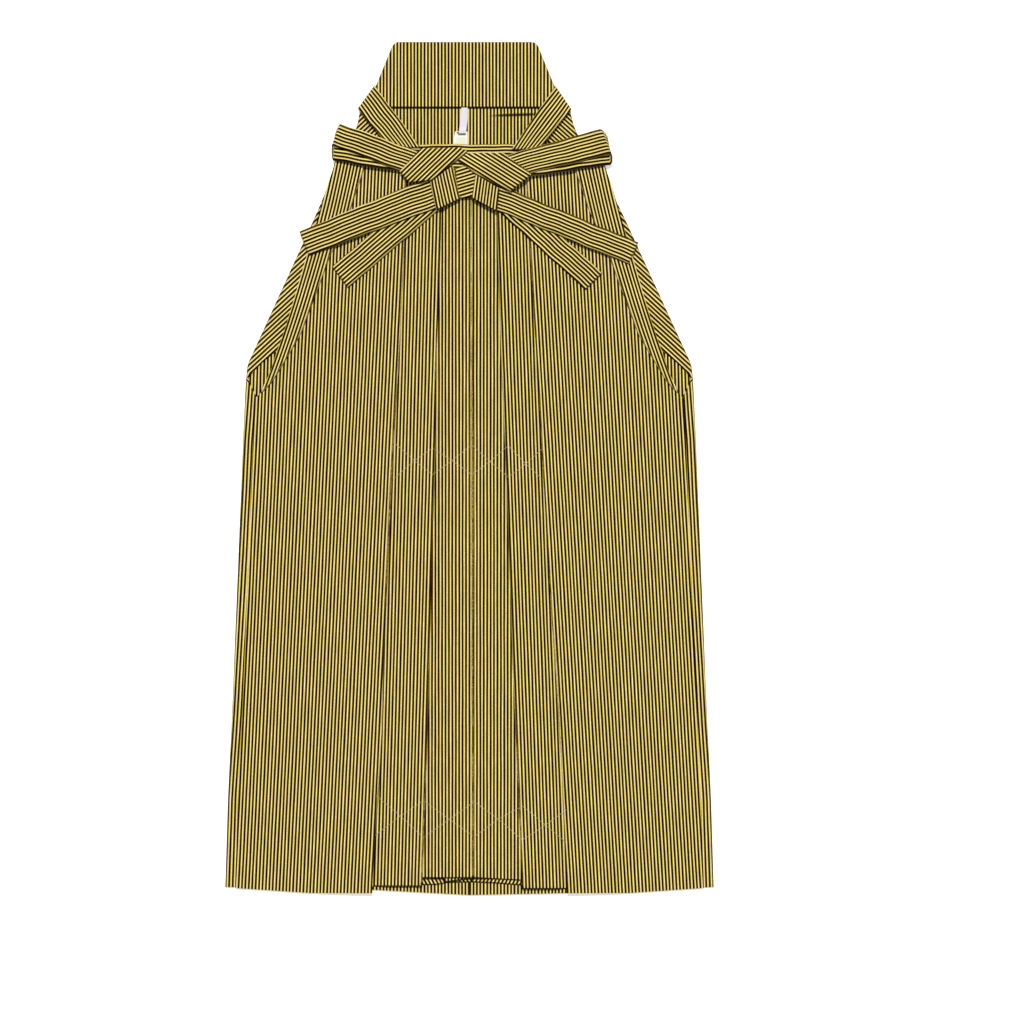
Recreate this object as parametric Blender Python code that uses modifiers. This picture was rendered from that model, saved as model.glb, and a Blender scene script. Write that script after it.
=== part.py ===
"""Men's formal hakama, pressed and laid flat on its back: two pleated legs, the stiff board at
the back of the waist, and the belt tied in front. Metres, +Z up, the garment's front facing up."""

import bmesh
import bpy
import numpy as np

# Cloth and belt
WALL = 0.0010
GAP = 0.0003
LAYER = WALL + GAP
STRAP = 0.0016
MM = 0.001

# Lengths measured up from the front hem
HEM_DIP = 0.0024
BOARD_TOP = 1.0212
BOARD_BOTTOM = 0.9429
BACK_TOP = 0.9426
FRONT_TOP = 0.8950
MIDDLE = (BOARD_TOP - HEM_DIP) / 2

# Board at the back of the waist
BOARD_LEAN = -0.0052
LEAN_FROM = 0.8000
BOARD_THICK = 0.0050
BOARD_HALF_TOP = 0.0855
BOARD_HALF_SHOULDER = 0.0895
BOARD_SHOULDER = 1.0116
BOARD_HALF_BOTTOM = 0.1176
BOARD_CORNER = 0.0035
BOARD_BEVEL = 0.0012

# Spatula below the board, and the ribbon that holds it
SPATULA_THICK = 0.0012
SPATULA_TOP = 0.9138
SPATULA_BOTTOM = 0.8550
SPATULA_HALF_TOP = 0.0080
SPATULA_HALF_BOTTOM = 0.0088
SPATULA_CORNER = 0.0025
SPATULA_BEVEL = 0.0003
SPATULA_LIFT = SPATULA_THICK + GAP
SPATULA_AT = -0.0102
SPATULA_CLEAR = 0.0050
RIBBON_HALF = 0.0034
RIBBON_TOP = 0.9423
RIBBON_RISE = 0.9180
RIBBON_RISEN = 0.9156
RIBBON_BOTTOM = 0.9095
RIBBON_TOP_AT = -0.0054
RIBBON_BOTTOM_AT = -0.0094

# Side of the leg
SEAM_INSET = 0.0120
STRIP_TURN_IN = 0.0025
STRIP_TIP = 0.6060
STRIP_LAP = 0.0003
OPENING_FOOT = 0.6000
STUB = 0.0007
SEAM_LAP = 0.0220
SELVEDGE_FOOT = 0.6150
SELVEDGE_SPREAD = 0.75

# Where the front lies over the back's pleats
CENTRE_LAYERS = 3
SIDE_LAYERS = 2
CENTRE_REACH = 0.128
SIDE_START = 0.162
LIFT_NEAR = 0.0160
LIFT_FAR = 0.0340
LIFT_FROM = 0.8250
LIFT_FULL = 0.8520
CENTRE_SEAM = 0.0140
RISE_LENGTH = 0.034
RISE_MARGIN = 0.0015

# How finely the walls are cut along the leg, and the straps along their length
LEG_ROWS = 22
BACK_MARKS = (0.594, 0.603, 0.6155, 0.640, 0.675)
FRONT_MARKS = (0.592, 0.603, LIFT_FROM, 0.838, LIFT_FULL)
STRIP_ROWS = 12
STRAP_STEP = 0.0065
STRAP_SPOTS = 9
NEAREST_ROWS = 0.006
PLAN_MARGIN = 0.0012

# The outer ends of the ties and crossings turn down over the edge of what they lie on
END_DROP = 0.0020
END_REACH = 0.0010

SIDES = {"left": -1, "right": 1}


class Table:
    """A short table with named columns, in millimetres, read between its rows."""

    def __init__(self, names, *rows):
        self.columns = dict(zip(names.split(), np.array(sorted(rows)).T * MM))

    def at(self, name, height):
        return float(np.interp(height, self.columns["height"], self.columns[name]))


# The back's side fold, and the fold of its one pleat a leg, from the centre line
BACK = Table(
    "height fold pleat depth flap",
    (944, 124.6, 4, 92, 27),
    (922, 129.4, 5, 93, 34),
    (908, 134.6, 5.4, 93.4, 39),
    (892, 148.3, 6, 94, 45),
    (634, 266.0, 14, 104, 45),
    (618, 267.8, 15, 105, 45),
    (544, 271.5, 17, 107, 45),
    (400, 277.0, 21, 111, 45),
    (232, 284.0, 25, 115, 45),
    (112, 289.5, 28, 118, 45),
    (-3, 293.0, 30, 120, 45),
)

# The front's side edge above the side seam, and the fold edge of the leaf-shaped tuck along it
TUCK = Table(
    "height outer inner",
    (895, 157.6, 117.5),
    (868, 163.8, 127.1),
    (844, 172.2, 135.1),
    (824, 177.8, 141.6),
    (760, 196.6, 169.2),
    (708, 211.8, 188.3),
    (671, 223.2, 202.4),
    (648, 231.6, 215.9),
    (628, 238.0, 227.8),
    (611, 245.6, 238.7),
    (600, 251.3, 250.4),
)

# The five front pleats' fold edges, and how far each folds under. The left leg's third pleat
# reaches past the centre line.
PLEATS = Table(
    "height left_outer left_inner left_centre right_inner right_outer",
    (892, 75.0, 33.0, -2.4, 31.8, 66.6),
    (772, 78.7, 35.2, -2.4, 34.2, 72.6),
    (652, 84.2, 39.8, -3.0, 37.6, 80.0),
    (532, 91.4, 40.9, -4.8, 43.1, 87.0),
    (412, 97.0, 44.9, -5.0, 47.5, 93.8),
    (292, 102.5, 48.1, -4.2, 51.5, 101.3),
    (172, 105.6, 51.0, -5.0, 56.4, 109.4),
    (13, 117.0, 57.0, -5.4, 63.5, 117.0),
)
DEPTHS = Table(
    "height outer inner centre",
    (892, 24, 23, 19),
    (13, 40, 36, 35),
)

# How high each panel's hem hangs over the lowest one, in millimetres
SIDE_HEM = 6
OUTER_HEM = 0
UNDER_OUTER = 4
INNER_HEM = {"left": 8, "right": 5}
UNDER_INNER = 13
CENTRE_HEM = 18
UNDER_CENTRE = 13
UNDER_BACK = {"left": 4, "right": 0}


def up(height):
    return height - MIDDLE


def lean(height):
    """How far the board and the top of the back lie to one side of the legs' centre line."""
    return BOARD_LEAN * smooth(height, LEAN_FROM, BOARD_BOTTOM)


def smooth(value, low, high):
    share = min(max((value - low) / (high - low), 0), 1)
    return share * share * (3 - 2 * share)


def material(name, colour, roughness):
    made = bpy.data.materials.new(name)
    made.use_nodes = True
    shader = made.node_tree.nodes["Principled BSDF"]
    shader.inputs["Base Color"].default_value = (*colour, 1)
    shader.inputs["Roughness"].default_value = roughness
    shader.inputs["Metallic"].default_value = 0
    return made


def add_object(name, mesh, finish):
    made = bpy.data.objects.new(name, mesh)
    made.data.materials.append(finish)
    COLLECTION.objects.link(made)
    return made


def sheet_mesh(name, rows):
    """An open surface through rows of points, each row as long as the next."""
    form = bmesh.new()
    grid = [[form.verts.new(point) for point in row] for row in rows]
    for low, high in zip(grid, grid[1:]):
        for corners in zip(low, low[1:], high[1:], high):
            form.faces.new(corners)
    bmesh.ops.recalc_face_normals(form, faces=form.faces)
    mesh = bpy.data.meshes.new(name)
    form.to_mesh(mesh)
    form.free()
    return mesh


def thicken(made, thickness):
    solid = made.modifiers.new("cloth", "SOLIDIFY")
    solid.thickness = thickness
    solid.offset = 0
    solid.use_even_offset = True
    solid.use_quality_normals = True


def front_base(x, height):
    """Layers of cloth under the front, and the extra lift over the spatula."""
    outward = smooth(abs(x), CENTRE_REACH, SIDE_START)
    layers = CENTRE_LAYERS + (SIDE_LAYERS - CENTRE_LAYERS) * outward
    near = 1 - smooth(abs(x - SPATULA_AT), LIFT_NEAR, LIFT_FAR)
    above = smooth(height, LIFT_FROM, LIFT_FULL)
    return layers * LAYER + SPATULA_LIFT * near * above


def front_z(x, height, level):
    return front_base(x, height) + (level - 1) * LAYER + WALL / 2


def front_side(height):
    """The front panel's side edge, from the centre line: under the tuck above, at the seam below."""
    if height > OPENING_FOOT:
        return TUCK.at("outer", height) - STRIP_TURN_IN + STRIP_LAP
    return BACK.at("fold", height) - SEAM_INSET


def pleats(side, height):
    """Each pleat's fold edge and depth, from the side of the leg to the centre."""
    outer = (PLEATS.at(f"{side}_outer", height), DEPTHS.at("outer", height))
    inner = (PLEATS.at(f"{side}_inner", height), DEPTHS.at("inner", height))
    if side == "left":
        return [outer, inner, (PLEATS.at("left_centre", height), DEPTHS.at("centre", height))]
    return [outer, inner]


def front_section(side, height):
    """(distance from the centre line, level, hem) of each corner of the front's folded section."""
    hems = [OUTER_HEM, UNDER_OUTER, INNER_HEM[side], UNDER_INNER, CENTRE_HEM, UNDER_CENTRE]
    folds = pleats(side, height)
    points = [(front_side(height), 1, SIDE_HEM)]
    rise_from = folds[0][0] + folds[0][1] + RISE_LENGTH
    for number, (fold, depth) in enumerate(folds):
        hem, under = hems[2 * number], hems[2 * number + 1]
        turn = fold + depth
        points += [
            (rise_from, 1, hem),
            (turn + RISE_MARGIN, 3, hem),
            (fold, 3, hem),
            (fold, 2, hem),
            (turn, 2, under),
            (turn, 1, under),
        ]
        rise_from = fold - RISE_MARGIN
    if side == "left":
        points.append((CENTRE_SEAM, 1, UNDER_CENTRE))
    else:
        points += [
            (folds[-1][0] - RISE_MARGIN, 1, CENTRE_HEM),
            (SPATULA_CLEAR, 1, CENTRE_HEM),
            (GAP - CENTRE_SEAM, 1, CENTRE_HEM),
        ]
    return points


def tuck_section(side, height):
    outer = TUCK.at("outer", height)
    inner = TUCK.at("inner", height)
    turn = outer - STRIP_TURN_IN
    return [(outer, 3), (inner, 3), (inner, 2), (turn, 2), (turn, 1)]


def flap_width(height):
    """How far the back's side folds over to the front side."""
    if height < OPENING_FOOT:
        return SEAM_LAP
    rising = SELVEDGE_SPREAD * (height - SELVEDGE_FOOT)
    return min(max(rising, STUB), BACK.at("flap", height))


def back_section(side, height):
    """(distance from the centre line, layer, hem) of each corner of the back's folded section."""
    fold = BACK.at("fold", height)
    pleat = BACK.at("pleat", height)
    depth = BACK.at("depth", height)
    corners = [
        (fold - flap_width(height), 1, SIDE_HEM + 1),
        (fold, 1, SIDE_HEM + 1),
        (fold, 0, SIDE_HEM + 1),
        (depth, 0, UNDER_BACK[side]),
        (pleat, 0, OUTER_HEM),
        (pleat, 1, OUTER_HEM),
        (depth, 1, UNDER_BACK[side]),
        (depth, 2, UNDER_BACK[side]),
        (GAP / 2, 2, -HEM_DIP / MM),
    ]
    leaning = SIDES[side] * lean(height)
    return [(distance + leaning, level, hem) for distance, level, hem in corners]


def leg_wall(name, section, z_of, side, top, levels):
    """The folded section carried from the top edge down to each column's own hem."""
    count = len(section(side, top))
    hems = [section(side, 0)[column][2] * MM for column in range(count)]
    rows = []
    for share in levels:
        row = []
        for column, hem in enumerate(hems):
            height = hem + share * (top - hem)
            distance, level = section(side, height)[column][:2]
            x = SIDES[side] * distance
            row.append((x, up(height), z_of(x, height, level)))
        rows.append(row)
    made = add_object(name, sheet_mesh(name, rows), CLOTH)
    thicken(made, WALL)
    return made


def back_z(x, height, level):
    return level * LAYER + WALL / 2


def leg_levels(top, marks):
    """Even shares of the height, and the named heights where the side edge changes."""
    shares = list(np.linspace(0, 1, LEG_ROWS)) + [mark / top for mark in marks]
    shares = sorted(shares)
    kept = [shares[0]]
    for share in shares[1:]:
        if share - kept[-1] > NEAREST_ROWS:
            kept.append(share)
    kept[-1] = 1.0
    return kept


def build_leg(side):
    back_levels = leg_levels(BACK_TOP, BACK_MARKS)
    leg_wall(f"back_{side}", back_section, back_z, side, BACK_TOP, back_levels)
    front_levels = leg_levels(FRONT_TOP, FRONT_MARKS)
    front = leg_wall(f"front_{side}", front_section, front_z, side, FRONT_TOP, front_levels)
    rows = []
    for height in np.linspace(STRIP_TIP, FRONT_TOP, STRIP_ROWS):
        row = []
        for distance, level in tuck_section(side, height):
            x = SIDES[side] * distance
            row.append((x, up(height), front_z(x, height, level)))
        rows.append(row)
    tuck = bpy.data.objects.new(f"tuck_{side}", sheet_mesh(f"tuck_{side}", rows))
    CUTTERS.objects.link(tuck)
    thicken(tuck, WALL)
    tuck.hide_render = True
    tuck.display_type = "WIRE"
    join = front.modifiers.new("tuck", "BOOLEAN")
    join.operation = "UNION"
    join.object = tuck


def level_at(section, z_of, side, x, height):
    """The highest the folded section reaches at x, on its middle surface, or None off its edge."""
    points = []
    for distance, level, *_ in section(side, height):
        place = SIDES[side] * distance
        points.append((place, z_of(place, height, level)))
    found = []
    for (x0, z0), (x1, z1) in zip(points, points[1:]):
        if min(x0, x1) <= x <= max(x0, x1) and x0 != x1:
            found.append(z0 + (z1 - z0) * (x - x0) / (x1 - x0))
    return max(found, default=None)


def board_half(height):
    return float(
        np.interp(
            height,
            (BOARD_BOTTOM, BOARD_SHOULDER, BOARD_TOP),
            (BOARD_HALF_BOTTOM, BOARD_HALF_SHOULDER, BOARD_HALF_TOP),
        )
    )


def garment_top(x, height):
    """The height of the cloth or board at a place, before any strap is laid."""
    tops = [0.0]
    if height > BOARD_BOTTOM - 0.001 and abs(x - BOARD_LEAN) < board_half(height) + 0.001:
        tops.append(BOARD_THICK)
    for side in SIDES:
        spots = [level_at(back_section, back_z, side, x, height)]
        if height < FRONT_TOP + 0.001:
            spots.append(level_at(front_section, front_z, side, x, height))
            if height > STRIP_TIP:
                spots.append(level_at(tuck_section, front_z, side, x, height))
        tops += [spot + WALL / 2 for spot in spots if spot is not None]
    return max(tops)


def inside(point, corners):
    """Whether a point of the plan lies in a convex outline, with a small margin."""
    signs = []
    for (x0, y0), (x1, y1) in zip(corners, corners[1:] + corners[:1]):
        length = max(np.hypot(x1 - x0, y1 - y0), 1e-9)
        signs.append(((x1 - x0) * (point[1] - y0) - (y1 - y0) * (point[0] - x0)) / length)
    return min(signs) > -PLAN_MARGIN or max(signs) < PLAN_MARGIN


def support(x, height):
    """The height of whatever is already there, straps included."""
    top = garment_top(x, height)
    for corners, z in LAID:
        if z > top and inside((x, height), corners):
            top = z
    return top


def hull(lengths, heights):
    """The taut line over a row of heights, as a stiff strap bridges the hollows between ridges."""
    kept = []
    for spot in zip(lengths, heights):
        while len(kept) > 1:
            (x0, z0), (x1, z1) = kept[-2:]
            if (z1 - z0) * (spot[0] - x0) > (spot[1] - z0) * (x1 - x0):
                break
            kept.pop()
        kept.append(spot)
    return np.interp(lengths, [x for x, _ in kept], [z for _, z in kept])


def drape(run):
    """The run's cross edges and their heights, laid taut over what is there."""
    ends = np.array(run).reshape(-1, 2, 2) * MM
    middles = ends.mean(axis=1)
    lengths = np.append(0, np.cumsum(np.linalg.norm(np.diff(middles, axis=0), axis=1)))
    count = max(int(np.ceil(lengths[-1] / STRAP_STEP)) + 1, 3)
    spots = sorted({*np.linspace(0, lengths[-1], count).round(5), *lengths[1:-1].round(5)})
    edges = []
    for spot in spots:
        a = np.array([np.interp(spot, lengths, ends[:, 0, axis]) for axis in (0, 1)])
        b = np.array([np.interp(spot, lengths, ends[:, 1, axis]) for axis in (0, 1)])
        edges.append((a, b))
    across = np.linspace(0, 1, STRAP_SPOTS)
    found = [max(support(*(a + share * (b - a))) for share in across) for a, b in edges]
    spread = [max(found[max(i - 1, 0) : i + 2]) for i in range(len(found))]
    heights = hull(spots, spread) + GAP + STRAP / 2
    return [(a, b, z) for (a, b), z in zip(edges, heights)]


def lay(edges):
    """Notes a run as something that later straps lie on."""
    for (a0, b0, z0), (a1, b1, z1) in zip(edges, edges[1:]):
        corners = [tuple(a0), tuple(b0), tuple(b1), tuple(a1)]
        LAID.append((corners, max(z0, z1) + STRAP / 2))


def turned_down(edges):
    """One more cross edge past the end, lower than the last."""
    (a0, b0, _), (a1, b1, z) = edges[-2:]
    ahead = (a1 + b1 - a0 - b0) / 2
    ahead = ahead / np.linalg.norm(ahead) * END_REACH
    return edges + [(a1 + ahead, b1 + ahead, z - END_DROP)]


def strap(name, *runs, start_down=False, end_down=False):
    """A flat belt stretch. A second run folds back over the first from its far end."""
    edges = []
    for run in runs:
        laid = drape(run)
        lay(laid)
        edges += laid
    if end_down:
        edges = turned_down(edges)
    if start_down:
        edges = turned_down(edges[::-1])[::-1]
    rows = []
    for a, b, z in edges:
        centre = (a + b) / 2
        rows.append([(x, up(height), z) for x, height in (a, centre, b)])
    made = add_object(name, sheet_mesh(name, rows), BELT)
    thicken(made, STRAP)
    return made


def plate(name, corners, low, thickness, finish, bevel):
    """A flat piece with an outline in the plan and a rounded edge."""
    form = bmesh.new()
    bottom = [form.verts.new((x, up(height), low)) for x, height in corners]
    face = form.faces.new(bottom)
    raised = bmesh.ops.extrude_face_region(form, geom=[face])["geom"]
    moved = [part for part in raised if isinstance(part, bmesh.types.BMVert)]
    bmesh.ops.translate(form, verts=moved, vec=(0, 0, thickness))
    bmesh.ops.recalc_face_normals(form, faces=form.faces)
    mesh = bpy.data.meshes.new(name)
    form.to_mesh(mesh)
    form.free()
    made = add_object(name, mesh, finish)
    rounded = made.modifiers.new("edge", "BEVEL")
    rounded.width = bevel
    rounded.segments = 2
    rounded.limit_method = "ANGLE"
    return made


def build_board():
    right = [
        (BOARD_HALF_BOTTOM, BOARD_BOTTOM),
        (BOARD_HALF_SHOULDER, BOARD_SHOULDER),
        (BOARD_HALF_TOP + BOARD_CORNER / 2, BOARD_TOP - BOARD_CORNER),
        (BOARD_HALF_TOP - BOARD_CORNER, BOARD_TOP),
    ]
    outline = right + [(-x, height) for x, height in reversed(right)]
    moved = [(x + BOARD_LEAN, height) for x, height in outline]
    plate("koshi_board", moved, 0, BOARD_THICK, CLOTH, BOARD_BEVEL)


def build_spatula():
    low = CENTRE_LAYERS * LAYER
    half_top, half_bottom, corner = SPATULA_HALF_TOP, SPATULA_HALF_BOTTOM, SPATULA_CORNER
    right = [
        (half_bottom - corner, SPATULA_BOTTOM),
        (half_bottom, SPATULA_BOTTOM + corner),
        (half_top, SPATULA_TOP - corner / 2),
        (half_top - corner / 2, SPATULA_TOP),
    ]
    outline = right + [(-x, height) for x, height in reversed(right)]
    moved = [(x + SPATULA_AT, height) for x, height in outline]
    plate("spatula", moved, low, SPATULA_THICK, PLASTIC, SPATULA_BEVEL)
    beside = low + WALL / 2
    over = beside + SPATULA_THICK + GAP
    stations = ((RIBBON_TOP, beside), (RIBBON_RISE, beside), (RIBBON_RISEN, over), (RIBBON_BOTTOM, over))
    rows = []
    for height, z in stations:
        centre = np.interp(height, (RIBBON_BOTTOM, RIBBON_TOP), (RIBBON_BOTTOM_AT, RIBBON_TOP_AT))
        rows.append([(centre + RIBBON_HALF * side, up(height), z) for side in (-1, 0, 1)])
    ribbon = add_object("spatula_ribbon", sheet_mesh("spatula_ribbon", rows), RIBBON)
    thicken(ribbon, WALL)


def build_belt():
    """The belt in the order it is laid, lowest first. Each row is a cross edge's two ends, in
    millimetres from the centre line and up from the hem."""
    band_left = (-157, 898, -158.5, 881), (-75, 898, -75, 868)
    band_right = (75, 898, 75, 866), (157, 898, 158.5, 879)
    strap("waistband", [*band_left, *band_right])
    strap("back_tie_left", [(-113.9, 969, -134, 940.7), (-60.2, 893.5, -97.3, 893.5)], start_down=True)
    strap("back_tie_right", [(103.1, 968.3, 122.3, 940.1), (53.4, 891.6, 85.1, 891.6)], start_down=True)
    strap("tail_short_left", [(-47.4, 850.4, -22, 832), (-165.2, 751.4, -145.9, 725.8)])
    strap("tail_short_right", [(36.6, 854.4, 14, 836.8), (159.4, 744, 139.1, 723.6)])
    strap("tail_long_left", [(-22, 863, -18, 829.6), (-204.1, 793.4, -192.6, 764.4)])
    strap("tail_long_right", [(14, 851, 12, 826), (202.9, 780.4, 190.7, 754.3)])
    strap("knot_band", [(-17, 869, -14, 833), (7.5, 876, 9, 834)])
    strap(
        "loop_left",
        [(-66, 891.6, -76, 863.5), (-160.6, 908.4, -163.4, 878.4)],
        [(-154.2, 922.8, -163.9, 897.0), (-52, 886, -74, 862.5)],
    )
    strap(
        "loop_right",
        [(58, 888.6, 72, 858.5), (165.2, 905.5, 168.6, 873.6)],
        [(156.6, 916.1, 169.2, 885.6), (40, 883.5, 66, 861.5)],
    )
    strap("wrap_left", [(-47.4, 853.2, -19.6, 872.5), (-39.8, 820.1, -9.8, 835.1)])
    strap("wrap_right", [(7.2, 861.8, 36.1, 844.7), (3.0, 832.9, 33.0, 816.8)])
    strap(
        "cross_left",
        [(-83.9, 865.1, -72, 852.1), (-58.2, 892.9, -47.4, 854.4), (-14.2, 894.4, -3.5, 890.8)],
        start_down=True,
    )
    strap(
        "cross_right",
        [(-4.6, 886.4, -14.2, 877.9), (40.4, 888.1, 8, 862.5), (74.8, 861.8, 49.1, 841.1)],
        end_down=True,
    )


COLLECTION = bpy.data.collections.new("hakama")
CUTTERS = bpy.data.collections.new("tools")
LAID = []

for stale in list(bpy.data.objects):
    bpy.data.objects.remove(stale, do_unlink=True)
bpy.context.scene.collection.children.link(COLLECTION)
bpy.context.scene.collection.children.link(CUTTERS)

CLOTH = material("striped_cloth", (0.30, 0.23, 0.07), 0.75)
BELT = material("striped_belt", (0.32, 0.25, 0.08), 0.72)
PLASTIC = material("white_plastic", (0.80, 0.80, 0.74), 0.45)
RIBBON = material("white_ribbon", (0.72, 0.71, 0.68), 0.80)

for leg in SIDES:
    build_leg(leg)
build_board()
build_spatula()
build_belt()
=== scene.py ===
"""Looks of a men's formal hakama, pressed and laid flat, front up: two pleated legs, the stiff
board at the back of the waist and the belt tied in front, in a fine black, gold and white stripe.
Metres, +Z up. Every cloth piece is a thin closed shell on its solid's form."""

import math

import bpy
import numpy as np
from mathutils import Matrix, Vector
from mathutils.bvhtree import BVHTree


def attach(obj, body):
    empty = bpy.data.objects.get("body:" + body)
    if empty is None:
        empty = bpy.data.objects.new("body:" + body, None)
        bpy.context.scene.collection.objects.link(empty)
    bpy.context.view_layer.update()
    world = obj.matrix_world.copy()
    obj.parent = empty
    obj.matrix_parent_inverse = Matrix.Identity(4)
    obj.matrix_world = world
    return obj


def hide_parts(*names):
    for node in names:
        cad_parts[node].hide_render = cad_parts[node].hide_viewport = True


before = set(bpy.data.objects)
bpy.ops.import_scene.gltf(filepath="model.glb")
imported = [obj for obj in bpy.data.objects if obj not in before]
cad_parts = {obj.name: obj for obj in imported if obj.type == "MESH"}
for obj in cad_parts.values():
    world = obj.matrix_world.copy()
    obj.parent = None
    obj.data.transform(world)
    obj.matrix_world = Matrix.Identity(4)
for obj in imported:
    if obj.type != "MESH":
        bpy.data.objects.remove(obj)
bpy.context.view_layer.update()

MM = 0.001

# The solids' own sizes, as the frame was built: cloth and belt
WALL = 0.0010
GAP = 0.0003
LAYER = WALL + GAP
STRAP = 0.0016

# Lengths measured up from the front hem
HEM_DIP = 0.0024
BOARD_TOP = 1.0212
BOARD_BOTTOM = 0.9429
BACK_TOP = 0.9426
FRONT_TOP = 0.8950
MIDDLE = (BOARD_TOP - HEM_DIP) / 2

# Board at the back of the waist
BOARD_LEAN = -0.0052
LEAN_FROM = 0.8000
BOARD_THICK = 0.0050
BOARD_HALF_TOP = 0.0820
BOARD_HALF_CHAMFER = 0.0870
BOARD_CHAMFER = 1.0177
BOARD_HALF_SHOULDER = 0.0895
BOARD_SHOULDER = 1.0116
BOARD_HALF_BOTTOM = 0.1176

# Tongue below the board, and its tape
SPATULA_THICK = 0.0012
SPATULA_TOP = 0.9138
SPATULA_BOTTOM = 0.8550
SPATULA_HALF_TOP = 0.0080
SPATULA_AT = -0.0102
SPATULA_CLEAR = 0.0050
SPATULA_LIFT = SPATULA_THICK + GAP
RIBBON_HALF = 0.0034
RIBBON_TOP = 0.9423
RIBBON_RISE = 0.9180
RIBBON_RISEN = 0.9156

# Side of the leg: the seam, the leaf-shaped tuck and the flap of the back's side
SEAM_INSET = 0.0120
STRIP_TURN_IN = 0.0025
STRIP_TIP = 0.6006
STRIP_LEAST = 0.0011
TUCK_LEAN = 0.19
TUCK_BEND = 0.33
OPENING_FOOT = 0.6000
OPENING_EASE = (-0.008, 0.004)
SEAM_LAP = 0.0220
SHORTEST_FLAP = 0.0018
SELVEDGE_FOOT = 0.6150
SELVEDGE_SPREAD = 0.75
LAP_TOP = 0.6194
LAP_SPREAD = 0.55
LAP_EASE = (-0.006, 0.002)
HIP = 0.634
TOP_OF_SIDE = 0.860
SLOPE_SPAN = 0.030

# Where the front lies over the back's pleats
CENTRE_LAYERS = 3
SIDE_LAYERS = 2
CENTRE_REACH = 0.128
SIDE_START = 0.162
LIFT_NEAR = 0.0160
LIFT_FAR = 0.0340
LIFT_FROM = 0.8250
LIFT_FULL = 0.8520
CENTRE_SEAM = 0.0140
RISE_LENGTH = 0.034
RISE_MARGIN = 0.0015

# How far each panel's hem stands over the lowest one
SIDE_HEM = 6 * MM
OUTER_HEM = 0.0
UNDER_OUTER = 4 * MM
INNER_HEM = {"left": 8 * MM, "right": 5 * MM}
UNDER_INNER = 13 * MM
CENTRE_HEM = 18 * MM
UNDER_CENTRE = 13 * MM
UNDER_BACK = {"left": 4 * MM, "right": 0.0}

# Cloth as it is drawn: thinner than the solid's wall, with rounded folds and edges
CLOTH = 0.0007
STRIP_CLOTH = 0.0006
SEAM_GAP = 0.00001
EDGE_STEPS = (0.00008, 0.0003)
ROW_STEP = 0.0062
SECTION_STEP = 0.0020

# How many steps each stretch of a section takes
FOLD_STEPS = 6
FLAP_STEPS = 9
PANEL_STEPS = 16
RISE_STEPS = 7
PLEAT_STEPS = 8
UNDER_STEPS = 5
LEVEL_STEPS = 6
SEAM_STEPS = 4
BACK_STEPS = 24
BACK_PLEAT_STEPS = 14
BACK_CENTRE_STEPS = 18

# How dark the painted shade is along folds without a column in the table below, and what
# springing does
SIDE_FOLD_SHADE = 0.45
BACK_PLEAT_SHADE = 0.30
TUCK_FOLD_SHADE = 0.25
SPRING = 0.0007
SPRING_REACH = 0.0050
SPRING_LEVEL = 1.4
SPRING_LEVELS = 1.1

# Where the back's first thread runs at the top edge, and how far it has moved at the hem
BACK_THREAD = 0.004
BACK_THREAD_MOVE = 0.026

# Painted shade along folds and edges: its reach, and how wide it is fully dark
SHADE_FROM = 0.0003
SHADE_REACH = 0.0021
TOP_LINE = 0.0016
HEM_LINE = 0.0012
HEM_FADE = 3.0
HEM_STEPS = (0.0012, 0.0016, 0.0019)
BELT_SHADE = 1.6
BELT_LINE = 0.0007
LOOP_LINE = 0.0017

# Farther than anything in the scene
FAR = 1.0

SIDES = {"left": -1, "right": 1}


class Table:
    """A short table with named columns, in millimetres, read between its rows."""

    def __init__(self, names, *rows):
        self.columns = dict(zip(names.split(), np.array(sorted(rows)).T * MM))

    def at(self, name, height):
        return float(np.interp(height, self.columns["height"], self.columns[name]))


# The back's side fold, and the fold of its one pleat a leg, from the centre line
BACK = Table(
    "height fold pleat depth flap",
    (944, 124.6, 4, 92, 27),
    (922, 129.4, 5, 93, 34),
    (908, 134.6, 5.4, 93.4, 39),
    (892, 148.3, 6, 94, 45),
    (634, 266.0, 14, 104, 45),
    (618, 267.8, 15, 105, 45),
    (544, 271.5, 17, 107, 45),
    (400, 277.0, 21, 111, 45),
    (232, 284.0, 25, 115, 45),
    (112, 289.5, 28, 118, 45),
    (-3, 293.0, 30, 120, 45),
)

# The front's side edge above the side seam, and the fold edge of the leaf-shaped tuck along it
TUCK = Table(
    "height outer inner",
    (895, 157.6, 117.5),
    (868, 163.8, 127.1),
    (844, 172.2, 135.1),
    (824, 177.8, 141.6),
    (760, 196.6, 169.2),
    (708, 211.8, 188.3),
    (671, 223.2, 202.4),
    (648, 231.6, 215.9),
    (628, 238.0, 227.8),
    (611, 245.6, 238.7),
    (600, 251.3, 250.4),
)

# The five front pleats' fold edges, and how far each folds under. The left leg's third pleat
# reaches past the centre line.
PLEATS = Table(
    "height left_outer left_inner left_centre right_inner right_outer",
    (892, 75.0, 33.0, -2.4, 31.8, 66.6),
    (772, 78.7, 35.2, -2.4, 34.2, 72.6),
    (652, 84.2, 39.8, -3.0, 37.6, 80.0),
    (532, 91.4, 40.9, -4.8, 43.1, 87.0),
    (412, 97.0, 44.9, -5.0, 47.5, 93.8),
    (292, 102.5, 48.1, -4.2, 51.5, 101.3),
    (172, 105.6, 51.0, -5.0, 56.4, 109.4),
    (13, 117.0, 57.0, -5.4, 63.5, 117.0),
)
DEPTHS = Table(
    "height outer inner centre",
    (892, 24, 23, 19),
    (13, 40, 36, 35),
)
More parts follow.
